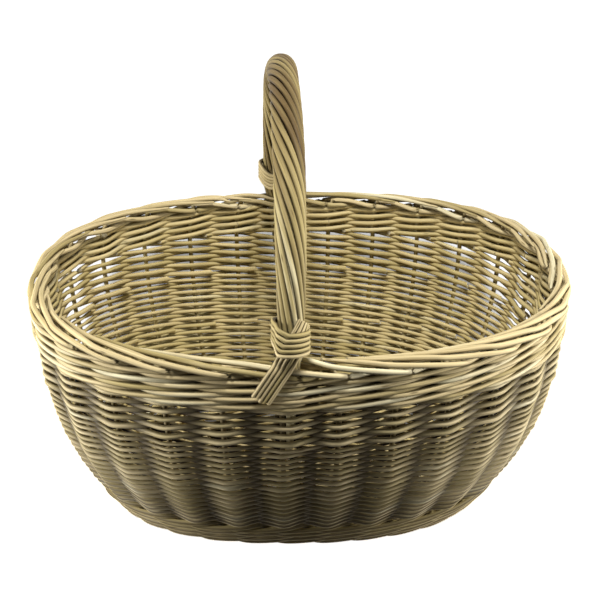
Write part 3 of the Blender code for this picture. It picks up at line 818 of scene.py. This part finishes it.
class BASKET_OT_base_sticks(WeaveOperator, bpy.types.Operator):
    """Lay the base's cross sticks and the long sticks that run through their slits"""

    bl_idname = "basket.base_sticks"
    bl_label = "Base Sticks"

    def make(self, wall):
        sizes, rods = wall.sizes, wall.rods
        lines = spoke_lines(wall)
        half = CROSS_STICKS // 2
        material = peeled_willow("base_sticks", [(0.1, "olive"), (0.9, "straw")])
        for number in range(LONG_STICKS):
            y = (number - (LONG_STICKS - 1) / 2) * stick_pitch(rods)
            middle = [(cross_stick_x(sizes, stick), y) for stick in range(CROSS_STICKS)]
            left, right = lines[len(lines) - half - 1 - number], lines[half + number]
            route = [left[1], left[0], *middle, right[0], right[1]]
            points = smooth([(x, y, crown(sizes, x, y)) for x, y in route], STICK_STEPS)
            stick = Rods(f"base_long_stick_rod_{number + 1}", "long_sticks", number)
            stick.add(points, rods.base_stick / 2, (0, 0, 1), sides=STICK_SIDES, slant=CUTS["stick"])
            stick.build(material, f"base_long_stick_{number + 1}")
        for number in range(CROSS_STICKS):
            x = cross_stick_x(sizes, number)
            back = lines[half + LONG_STICKS + CROSS_STICKS - 1 - number][1][1]
            reach = np.linspace(-back, back, CROSS_STICK_POINTS)
            swell = ease(np.abs(reach), *SLIT_OPENS)
            points = [(x, y, crown(sizes, x, 0 if swollen > 0 else y)) for y, swollen in zip(reach, swell)]
            stick = Rods(f"base_cross_stick_rod_{number + 1}", "cross_sticks", number)
            stick.add(points, CROSS_STICK_THICK / 2, (0, 0, 1), sides=STICK_SIDES)
            self.open_slit(stick, swell)
            stick.build(material, f"base_cross_stick_{number + 1}")

    def open_slit(self, stick, swell):
        """Bulges the stick above and below the long sticks that its slit holds."""
        skin = stick.verts[0][: len(swell) * STICK_SIDES].reshape(-1, STICK_SIDES, 3)
        middle = skin.mean(axis=1, keepdims=True)
        spread = (CROSS_STICK_WAIST / CROSS_STICK_THICK - 1) * swell[:, None]
        skin[..., 2] += (skin[..., 2] - middle[..., 2]) * spread


class BASKET_OT_base_weave(WeaveOperator, bpy.types.Operator):
    """Weave the base from the middle out, over one stick and under the next"""

    bl_idname = "basket.base_weave"
    bl_label = "Base Weave"

    def make(self, wall):
        sizes, rods = wall.sizes, wall.rods
        lines = spoke_lines(wall)
        spokes = len(lines)
        radius = rods.base_rod / 2
        lift = CROSS_STICK_THICK / 2 + radius + rods.gap
        material = peeled_willow("base_weave", [(0.1, "olive"), (0.6, "straw"), (1, "ochre")])
        for phase, letter in enumerate("ab"):
            weaver = Rods(f"base_weaver_rod_{letter}", "base_weave", phase)
            route = []
            for step in range(spokes * BASE_TURNS + 1):
                (sx, sy), (tx, ty) = lines[step % spokes]
                share = (2 * step / spokes + phase) / (2 * BASE_TURNS + 1)
                x, y = sx + (tx - sx) * share, sy + (ty - sy) * share
                side = 1 if (step + phase) % 2 else -1
                route.append((x, y, crown(sizes, x, y) + side * lift))
            run = int(BASE_RUN * spokes)
            for start in range(0, len(route) - 1, run):
                part = smooth(route[start : start + run + 1], STATION_STEPS)
                weaver.add(part, radius, (0, 0, 1), slant=CUTS["base"])
            weaver.build(material, f"base_weaver_{letter}")


# The stake's butt and its next points, as lengths in from its turn, and its air from the stick beside it
STAKE_FOOT = (0.017, 0.008, 0)
STAKE_GAP = 0.0004
# A stick end that points at least this much across belongs to a cross stick
CROSSWISE = 0.99
UPRIGHT_POINTS = 12
# A stake's thickness in the border less what it loses by its tip, and what its cut end tapers to, as shares
BORDER_TAPER = (1.06, 0.1)
BORDER_TIP = 0.45
# Painted shade on the upright, the most on the underside of the border's rods, and the shares of looking up
# where that starts and is full
UPRIGHT_SHADE = 0.7
BORDER_UNDERSHADE = 0.9
UNDERSIDE = (0.3, -0.8)
# Air between a border rod and the handle's leg, and how far rods stray up or down, in stake thicknesses
LEG_GAP = 0.0008
BORDER_STRAY = 0.05
# A stake faces sideways where it is this steep, and outward where it is this flat
LYING_DOWN = (0.7, 0.3)
TINY = 1e-9


class BASKET_OT_stakes(WeaveOperator, bpy.types.Operator):
    """Stand the stakes in the base and turn each one down into the border"""

    bl_idname = "basket.stakes"
    bl_label = "Stakes and Border"

    def make(self, wall):
        rods = wall.rods
        lines = spoke_lines(wall)
        tones = [(0.0, "olive"), (0.35, "straw"), (0.75, "straw"), (1, "cream")]
        # The stakes take a strong golden tint, painted for bounced light, on their inner side
        material = peeled_willow("stakes", tones, bounce_tint=0.7)
        heights = wall.heights[:: TABLE_STEPS // UPRIGHT_POINTS]
        heights = heights[heights < wall.top - rods.stake]
        for station, node in enumerate(numbered("stake", wall.sizes.stakes, 2)):
            stake = Rods(f"{node}_rod", "stakes", station)
            upright = np.vstack([self.foot(wall, lines, station), wall.place(station, heights)])
            laid = smooth(self.border(wall, station, stake), STATION_STEPS)
            points = np.vstack([smooth(upright, UPRIGHT_STEPS), laid])
            lying = np.arange(len(points)) >= len(points) - len(laid)
            shares = np.linspace(0, 1, len(points))
            thick = rods.stake_butt + (rods.stake_tip - rods.stake_butt) * shares
            radii = np.where(lying, rods.border * (BORDER_TAPER[0] - BORDER_TAPER[1] * shares), thick) / 2
            radii[-STATION_STEPS:] *= np.linspace(1, BORDER_TIP, STATION_STEPS)
            _, normal, _, along = wall.frames(station, wall.top)

            # The upright's inner side is tinted golden as painted bounce light; the border's rods are not
            def inward(radial):
                return np.where(lying[:, None], 0, ease(radial @ normal, *INWARD))

            # Painted shade: even on the upright, and deepest on the underside of the border's rods
            def depth(radial):
                under = BORDER_UNDERSHADE * ease(radial[..., 2], *UNDERSIDE)
                return np.where(lying[:, None], under, UPRIGHT_SHADE)

            facing = self.facing(points, along)
            stake.add(points, radii, facing, slant=CUTS["stake"], inward=inward, depth=depth)
            stake.build(material, node)

    def foot(self, wall, lines, station):
        """The stake's butt is pushed into the base beside a stick."""
        sizes, rods = wall.sizes, wall.rods
        start, tip = (np.array(place) for place in lines[(station - 1) % sizes.stakes // 2])
        outward = unit(tip - start)
        across = np.array([-outward[1], outward[0]])
        thick = CROSS_STICK_THICK if abs(outward[1]) > CROSSWISE else rods.base_stick
        side = 1 if (station - 1) % 2 else -1
        end = tip + across * side * (thick / 2 + rods.stake / 2 + STAKE_GAP)
        places = [end - outward * reach for reach in STAKE_FOOT]
        return np.array([(x, y, crown(sizes, x, y)) for x, y in places])

    def border(self, wall, station, stake):
        """Down behind one stake, in front of the next and along the top of the border."""
        rods = wall.rods
        clearance = rods.bow / 2 + rods.stake / 2 + LEG_GAP
        points = []
        for row, (along, out, up) in enumerate(BORDER_SHARES):
            reach = out * rods.stake
            for handle in wall.handle_stations:
                moved = LEG_SHARES.get((station - handle) % wall.sizes.stakes, {})
                if row in moved and moved[row] is None:
                    return np.array(points)
                if row in moved:
                    along, out, up = moved[row]
                    reach = out * clearance
            up += stake.vary(-BORDER_STRAY, BORDER_STRAY)
            on_wall = wall.place(station - along, wall.top, out=reach)
            points.append(on_wall + np.array([0, 0, up * rods.stake]))
        return np.array(points)

    def facing(self, points, along):
        """Sideways on the upright, turning smoothly to outward as the rod lies down in the border."""
        ahead = unit(np.gradient(points, axis=0))
        flat = unit(np.cross(ahead, [0, 0, 1.0]) + TINY)
        lying = ease(np.abs(ahead[:, 2]), *LYING_DOWN)[:, None]
        return unit(along * (1 - lying) + flat * np.sign(flat @ along)[:, None] * lying)


class BASKET_OT_upsett(WeaveOperator, bpy.types.Operator):
    """Weave the waling that sets up the stakes at the foot"""

    bl_idname = "basket.upsett"
    bl_label = "Upsett"

    def make(self, wall):
        material = peeled_willow("upsett", [(0, "olive"), (0.6, "straw"), (1, "ochre")])
        upsett = Rods("upsett_wale_rods", "upsett")
        thick = (wall.rods.wale_butt, wall.rods.upsett_tip)
        wale(upsett, wall, UPSETT_TURNS, UPSETT_CLIMB, UPSETT_RISE, thick, UPSETT_RUN)
        upsett.build(material, *lettered("upsett_wale", "abc"))


class BASKET_OT_siding(WeaveOperator, bpy.types.Operator):
    """Weave the siding in three bands of rods, each rod climbing a level at each stake"""

    bl_idname = "basket.siding"
    bl_label = "Siding"

    def make(self, wall):
        low, high = side_range(wall)
        total = sum(stack(butt, tip, count, 1)[2] for _, count, butt, tip in BANDS)
        pack = (high - low) / total
        tones = [(0, "olive"), (0.3, "olive"), (0.5, "straw"), (0.9, "straw"), (1, "cream")]
        # The siding's outside gets the paler grey painted for lit rods and the full painted shade in its
        # hollows
        material = peeled_willow("siding", tones, lit_grey=0.35, painted_shade=1.0)
        for number, (band, count, butt, tip) in enumerate(BANDS):
            thick, levels, height = stack(butt, tip, count, pack)
            weave = Rods(f"side_weave_{band}", "siding", number)
            for first in range(wall.sizes.stakes):
                randed(weave, wall, first, low + levels, thick * pack * weave.vary(*PRESSED))
            weave.build(material, *lettered(f"side_weaver_{band}", "ab"))
            low += height


class BASKET_OT_top_wale(WeaveOperator, bpy.types.Operator):
    """Weave the waling under the border"""

    bl_idname = "basket.top_wale"
    bl_label = "Top Wale"

    def make(self, wall):
        material = peeled_willow("top_wale", [(0, "olive"), (0.4, "straw"), (0.8, "straw"), (1, "cream")])
        top = Rods("top_wale_rods", "top_wale")
        thick = (wall.rods.wale_butt, wall.rods.top_wale_tip)
        wale(top, wall, TOP_WALE_TURNS, top_wale_climb(wall), TOP_WALE_RISE, thick, TOP_WALE_RUN)
        top.build(material, *lettered("top_wale", "abc"))


# How far the rope's strands run on past the rim, and how far out they lie there, in thicknesses of the bow
ROPE_FOOT = 0.006
ROPE_NEST = 0.42
# The share of the arch's rise at which the rope has its full thickness
ROPE_FULL = 0.8
ARCH_POINTS = 90
# How far strands stray round the handle, as a share of their spacing, and in and out, and how thick they are
STRAND_STRAY = 0.08
STRAND_RAISE = (-0.0002, 0.0001)
STRAND_WIDTHS = (0.9, 1.05)
# Tones of the strands, how much painted shade darkens the handle's top, and the heights between which that
# grows
STRAND_TONES = (0.08, 0.82)
TOP_SHADE = 0.42
TOP_SHADE_HEIGHTS = (0.30, 0.38)
# Shares of looking out where painted shade starts on a strand's flanks and where it is full
STRAND_FLANKS = (0.90, 0.0)
# The bow's leg ends this far below the rim, and the bow thickens by this share over this height above it
LEG_TOP = 0.004
LEG_POINTS = 12
BOW_SWELL = 0.2
BOW_SWELL_RUN = 0.02
# Solids of the rope that the strands stand for
ROPE_SOLIDS = 8


class BASKET_OT_handle(WeaveOperator, bpy.types.Operator):
    """Bend the bow into the wall and rope the strands round it"""

    bl_idname = "basket.handle"
    bl_label = "Roped Handle"

    def make(self, wall):
        rods = wall.rods
        arch = Arch(wall)
        tones = [(0, "brown"), (0.7, "olive"), (1, "cream")]
        material = peeled_willow("handle", tones, bounce_tint=0.0)
        self.bow(wall, arch).build(material, "handle_bow")
        rope = Rods("handle_rope", "rope")
        lengths = np.linspace(-ROPE_FOOT, arch.length + ROPE_FOOT, ARCH_POINTS)
        up_share = ease(np.sin(math.pi * np.clip(lengths / arch.length, 0, 1)), 0, ROPE_FULL)
        turn_length = rods.foot_lay + (rods.strand_lay - rods.foot_lay) * up_share
        steps = np.diff(lengths) / (turn_length[1:] + turn_length[:-1]) * 2
        turned = np.concatenate([[0], np.cumsum(steps)])
        outer = rods.rope_foot + (rods.rope - rods.rope_foot) * up_share
        thick = rods.strand * outer / rods.rope
        foot_share = ease(np.minimum(lengths, arch.length - lengths), 2 * ROPE_FOOT, -ROPE_FOOT)
        orbit = outer - thick / 2 - (outer - thick / 2 - rods.bow * ROPE_NEST) * foot_share
        for number in range(rods.strands):
            start = (number + rope.vary(-STRAND_STRAY, STRAND_STRAY)) / rods.strands
            turns = 2 * math.pi * (turned + start)
            points, radial = arch.round(lengths, turns, orbit + rope.vary(*STRAND_RAISE))
            # Painted shade darkens each strand towards the handle's top
            tone = rope.vary(*STRAND_TONES) - TOP_SHADE * ease(points[:, 2], *TOP_SHADE_HEIGHTS)
            rope.add(
                points,
                thick / 2 * rope.vary(*STRAND_WIDTHS),
                radial,
                sides=FINE_SIDES,
                depth=flanks(radial, *STRAND_FLANKS),
                tone=tone[:, None],
            )
        rope.build(material, *numbered("handle_strand", ROPE_SOLIDS))

    def bow(self, wall, arch):
        sizes = wall.sizes
        bow = Rods("handle_bow_rod", "bow")
        heights = np.linspace(sizes.rim_height - sizes.bow_leg, sizes.rim_height - LEG_TOP, LEG_POINTS)
        aside = wall.leg_offset(heights)
        legs = [wall.place(station, heights, along=aside) for station in wall.handle_stations]
        middle, _ = arch.frames(np.linspace(0, arch.length, ARCH_POINTS))
        points = np.vstack([legs[0], middle, legs[1][::-1]])
        thicker = BOW_SWELL * ease(points[:, 2] - sizes.rim_height, 0, BOW_SWELL_RUN)
        bow.add(points, wall.leg_thick(points[:, 2]) / 2 * (1 + thicker), arch.side, sides=BOW_SIDES)
        return bow


# The loops of a binding, with turns in degrees from the handle's right side over its outer face:
# where they start, where the lowest and the topmost bend up, and where they are highest and level again
LOOP_POINTS = 97
LOOP_START = -30
LOOP_BENDS = (124, 95)
LOOP_PEAK = 190
LOOP_LEVEL_FRONT = 330
LOOP_LEVEL_BACK = 262
# The turns over which they rise on to the tails and come off them
LOOP_MEETS_TAILS = (-5, 35)
LOOP_LEAVES_TAILS = (148, 118)
# The lowest one's height above the rim, the climb, how far left they sit and their air from the rope
LOOP_HEIGHT = 0.0098
LOOP_CLIMB = 0.0075
LOOP_ASIDE = 0.0012
LOOP_GAP = 0.0002
# Shares of looking out where painted shade starts on a loop's flanks and where it is full
LOOP_FLANKS = (0.75, -0.05)
# The tails' top above the rim, their start right of the handle, their lean and its growth, and their drop
TAIL_POINTS = 30
TAIL_TOP = 0.0305
TAIL_ASIDE = 0.0112
TAIL_LEAN = 0.60
TAIL_CURVE = 0.3
TAIL_DROP = 0.0565
TAIL_STRAY = 0.001
# Their air from each other, the rope and the border, and the heights above the rim where they cross over
TAIL_GAP = 0.0001
TAIL_ROPE_GAP = 0.0003
TAIL_BORDER_GAP = 0.0012
TAIL_CROSSES = (-0.004, 0.008)
# Shares of looking out where painted shade starts on a tail's flanks and where it is full
TAIL_FLANKS = (0.92, 0.12)


class BASKET_OT_bindings(WeaveOperator, bpy.types.Operator):
    """Wind a binding round each foot of the handle and lay its tail across the border"""

    bl_idname = "basket.bindings"
    bl_label = "Handle Bindings"

    def make(self, wall):
        arch = Arch(wall)
        tones = [(0, "olive"), (0.4, "straw"), (1, "straw")]
        material = peeled_willow("bindings", tones, bounce_tint=0.0)
        for order, (name, station) in enumerate(zip(("front", "back"), wall.handle_stations)):
            binding = Rods(f"{name}_handle_binding_rods", "bindings", order)
            for number in range(wall.rods.binding_rods):
                self.loop(arch, binding, number, name == "back")
                self.tail(arch, binding, number, station)
            binding.build(material, f"{name}_handle_binding")

    def loop(self, arch, binding, number, at_back):
        """One rod round the rope's foot: level over the front, up round the left side, and down inside."""
        rods = arch.wall.rods
        turns = np.linspace(LOOP_START, LOOP_START + 360, LOOP_POINTS)
        bend = LOOP_BENDS[0] + (LOOP_BENDS[1] - LOOP_BENDS[0]) * number / (rods.binding_rods - 1)
        climb = np.sin(math.pi / 2 * np.clip((turns - bend) / (LOOP_PEAK - bend), 0, 1))
        climb *= ease(turns, LOOP_LEVEL_BACK if at_back else LOOP_LEVEL_FRONT, LOOP_PEAK)
        over_tails = ease(turns, *LOOP_MEETS_TAILS) * ease(turns, *LOOP_LEAVES_TAILS)
        reach = rods.rope_foot + rods.binding / 2 + LOOP_GAP + rods.tail * over_tails
        lengths = LOOP_HEIGHT + number * rods.binding + LOOP_CLIMB * climb
        if at_back:
            lengths = arch.length - lengths
        points, radial = arch.round(lengths, np.radians(turns), reach)
        points -= arch.side * LOOP_ASIDE
        depth = flanks(radial, *LOOP_FLANKS)
        binding.add(points, rods.binding / 2, radial, sides=FINE_SIDES, depth=depth)

    def tail(self, arch, binding, number, station):
        """A rod's end laid on the slant from above the loops, under them and down outside the border."""
        wall, rim = arch.wall, arch.rim
        rods = wall.rods
        across = (number - (rods.binding_rods - 1) / 2) * (rods.tail + TAIL_GAP)
        down = np.linspace(0, TAIL_DROP + binding.vary(-TAIL_STRAY, TAIL_STRAY), TAIL_POINTS)
        lean = np.arctan(TAIL_LEAN + 2 * TAIL_CURVE * down)
        heights = rim + TAIL_TOP - down - across * np.sin(lean)
        aside = TAIL_ASIDE - TAIL_LEAN * down - TAIL_CURVE * down**2 + across * np.cos(lean)
        reach = rods.rope_foot + rods.tail / 2 + TAIL_ROPE_GAP
        sign = -1 if station else 1
        lengths = arch.length - (heights - rim) if station else heights - rim
        on_rope, outward = arch.round(lengths, math.pi / 2 - sign * aside / reach, reach)
        over_border = (BORDER_OUT_SHARE + 0.5) * rods.stake + rods.tail / 2 + TAIL_BORDER_GAP
        on_wall = wall.place(station, heights, out=over_border, along=wall.leg_offset(rim) + aside)
        _, normal, _, _ = wall.frames(station, np.full(len(heights), wall.top))
        above = ease(heights - rim, *TAIL_CROSSES)[:, None]
        facing = unit(outward * above + normal * (1 - above))
        binding.add(
            on_rope * above + on_wall * (1 - above),
            rods.tail / 2,
            facing,
            sides=FINE_SIDES,
            slant=CUTS["tail"],
            depth=flanks(facing, *TAIL_FLANKS),
        )


# The camera, found from the rim, the foot and the handle in the photograph: metres, degrees and millimetres
CAMERA_AIM = (0.0007, 0.0, 0.1801)
DISTANCE = 1.300
ELEVATION = 24.4
AZIMUTH = -0.2
ROLL = -0.5
LENS = 91.3
SENSOR = 36
# The softboxes: name, place, width and power. All lamps look at one point
SOFTBOXES = [
    ("left_softbox", (-0.80, -0.14, 0.17), 0.30, 8.8),
    ("right_softbox", (0.85, -0.20, 0.20), 0.30, 9.4),
    ("top_softbox", (0.0, -0.43, 1.37), 0.34, 20.5),
]
LAMP_AIM = (0, 0, 0.12)
# The floor's own light, from the front, so that the basket's shadow falls behind it. It makes white paint
# just white, and its width in degrees softens the shadow's edge
FLOOR_LIGHT = 1.35
FLOOR_LIGHT_PLACE = (0.0, -2.0, 1.08)
FLOOR_LIGHT_WIDTH = 5
# The plain light from all round
WORLD_LIGHT = 0.06
# What the floor throws back on the basket, and what the camera sees of it, as shares of white paint
FLOOR_RETURN = 0.2
FLOOR_LIFT = 5.0
FLOOR_HALF = 4.0


class BASKET_OT_stage(bpy.types.Operator):
    """Set the camera, the soft studio lamps and the white floor"""

    bl_idname = "basket.stage"
    bl_label = "Stage"

    def execute(self, context):
        scene = context.scene
        scene.view_settings.view_transform = "Standard"
        self.camera(scene)
        self.world(scene)
        floor = self.floor(scene)
        for name, place, width, power in SOFTBOXES:
            self.lamp(name, "AREA", place, floor, "EXCLUDE", shape="DISK", size=width, energy=power)
        width = math.radians(FLOOR_LIGHT_WIDTH)
        self.lamp("floor_light", "SUN", FLOOR_LIGHT_PLACE, floor, "INCLUDE", energy=FLOOR_LIGHT, angle=width)
        return {"FINISHED"}

    def camera(self, scene):
        azimuth, elevation = math.radians(AZIMUTH), math.radians(ELEVATION)
        level = math.cos(elevation)
        back = Vector((math.sin(azimuth) * level, -math.cos(azimuth) * level, math.sin(elevation)))
        camera = bpy.data.objects.new("camera", bpy.data.cameras.new("camera"))
        camera.data.lens = LENS
        camera.data.sensor_width = SENSOR
        turn = back.to_track_quat("Z", "Y").to_matrix().to_4x4()
        roll = Matrix.Rotation(math.radians(ROLL), 4, "Z")
        camera.matrix_world = Matrix.Translation(Vector(CAMERA_AIM) + back * DISTANCE) @ turn @ roll
        scene.collection.objects.link(camera)
        scene.camera = camera

    def lamp(self, name, kind, place, floor, link, **settings):
        """A lamp that looks at the basket, and either leaves the floor out or lights the floor alone."""
        light = bpy.data.lights.new(name, kind)
        for setting, value in settings.items():
            setattr(light, setting, value)
        lamp = bpy.data.objects.new(name, light)
        aim = Vector(LAMP_AIM) - Vector(place)
        lamp.matrix_world = Matrix.Translation(place) @ aim.to_track_quat("-Z", "Y").to_matrix().to_4x4()
        bpy.context.scene.collection.objects.link(lamp)
        lit = bpy.data.collections.new(f"{name}_receivers")
        lit.objects.link(floor)
        lit.collection_objects[0].light_linking.link_state = link
        lamp.light_linking.receiver_collection = lit

    def floor(self, scene):
        """White to the camera, with the basket's soft shadow, and duller in what it throws back."""
        mesh = bpy.data.meshes.new("studio_floor")
        corners = [(x * FLOOR_HALF, y * FLOOR_HALF, 0) for x, y in ((-1, -1), (1, -1), (1, 1), (-1, 1))]
        mesh.from_pydata(corners, [], [(0, 1, 2, 3)])
        floor = bpy.data.objects.new("studio_floor", mesh)
        scene.collection.objects.link(floor)
        floor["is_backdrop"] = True
        material = bpy.data.materials.new("matt_white_floor")
        material.use_nodes = True
        tree = material.node_tree
        tree.nodes.remove(tree.nodes["Principled BSDF"])
        paint = scene.willow_colours.floor
        dull, bright = (
            add(tree, "BsdfDiffuse", {"Color": (*[lift * share for share in paint], 1)})
            for lift in (FLOOR_RETURN, FLOOR_LIFT)
        )
        both = add(tree, "MixShader", {0: self.seen(tree), 1: dull, 2: bright})
        connect(tree, tree.nodes["Material Output"], {"Surface": both})
        mesh.materials.append(material)
        return floor

    def world(self, scene):
        """White behind the basket, and a plain soft grey in what lights it."""
        world = bpy.data.worlds.new("studio_world")
        world.use_nodes = True
        tree = world.node_tree
        scene.world = world
        strength = add(tree, "MapRange", {"Value": self.seen(tree), 3: WORLD_LIGHT, 4: 1.0})
        connect(tree, tree.nodes["Background"], {"Color": (1, 1, 1, 1), "Strength": strength})

    def seen(self, tree):
        """1 for rays from the camera and for what glossy or clear surfaces show."""
        rays = add(tree, "LightPath").outputs
        shown = rays["Is Camera Ray"]
        for ray in ("Is Glossy Ray", "Is Transmission Ray"):
            shown = add(tree, "Math", {0: shown, 1: rays[ray]}, operation="MAXIMUM")
        return shown


class BASKET_PT_panel(bpy.types.Panel):
    """Lists the basket's pieces, to make them one by one"""

    bl_idname = "BASKET_PT_panel"
    bl_label = "Willow Basket"
    bl_space_type = "VIEW_3D"
    bl_region_type = "UI"
    bl_category = "Basket"

    def draw(self, context):
        for group in (context.scene.basket_sizes, context.scene.rod_sizes, context.scene.willow_colours):
            box = self.layout.box()
            for name in group.bl_rna.properties.keys():
                if name not in ("rna_type", "name"):
                    box.prop(group, name)
        for operator in OPERATORS:
            self.layout.operator(operator.bl_idname)


OPERATORS = (
    BASKET_OT_stage,
    BASKET_OT_base_sticks,
    BASKET_OT_base_weave,
    BASKET_OT_stakes,
    BASKET_OT_upsett,
    BASKET_OT_siding,
    BASKET_OT_top_wale,
    BASKET_OT_handle,
    BASKET_OT_bindings,
)
GROUPS = {"basket_sizes": BasketSizes, "rod_sizes": RodSizes, "willow_colours": WillowColours}


def register():
    for item in (*GROUPS.values(), *OPERATORS, BASKET_PT_panel):
        bpy.utils.register_class(item)
    for name, group in GROUPS.items():
        setattr(bpy.types.Scene, name, PointerProperty(type=group))


def unregister():
    for name in GROUPS:
        delattr(bpy.types.Scene, name)
    for item in (BASKET_PT_panel, *reversed(OPERATORS), *reversed(GROUPS.values())):
        bpy.utils.unregister_class(item)


def main():
    register()
    bpy.ops.basket.stage()
    bpy.ops.basket.base_sticks()
    bpy.ops.basket.base_weave()
    bpy.ops.basket.stakes()
    bpy.ops.basket.upsett()
    bpy.ops.basket.siding()
    bpy.ops.basket.top_wale()
    bpy.ops.basket.handle()
    bpy.ops.basket.bindings()


if __name__ == "__main__":
    main()
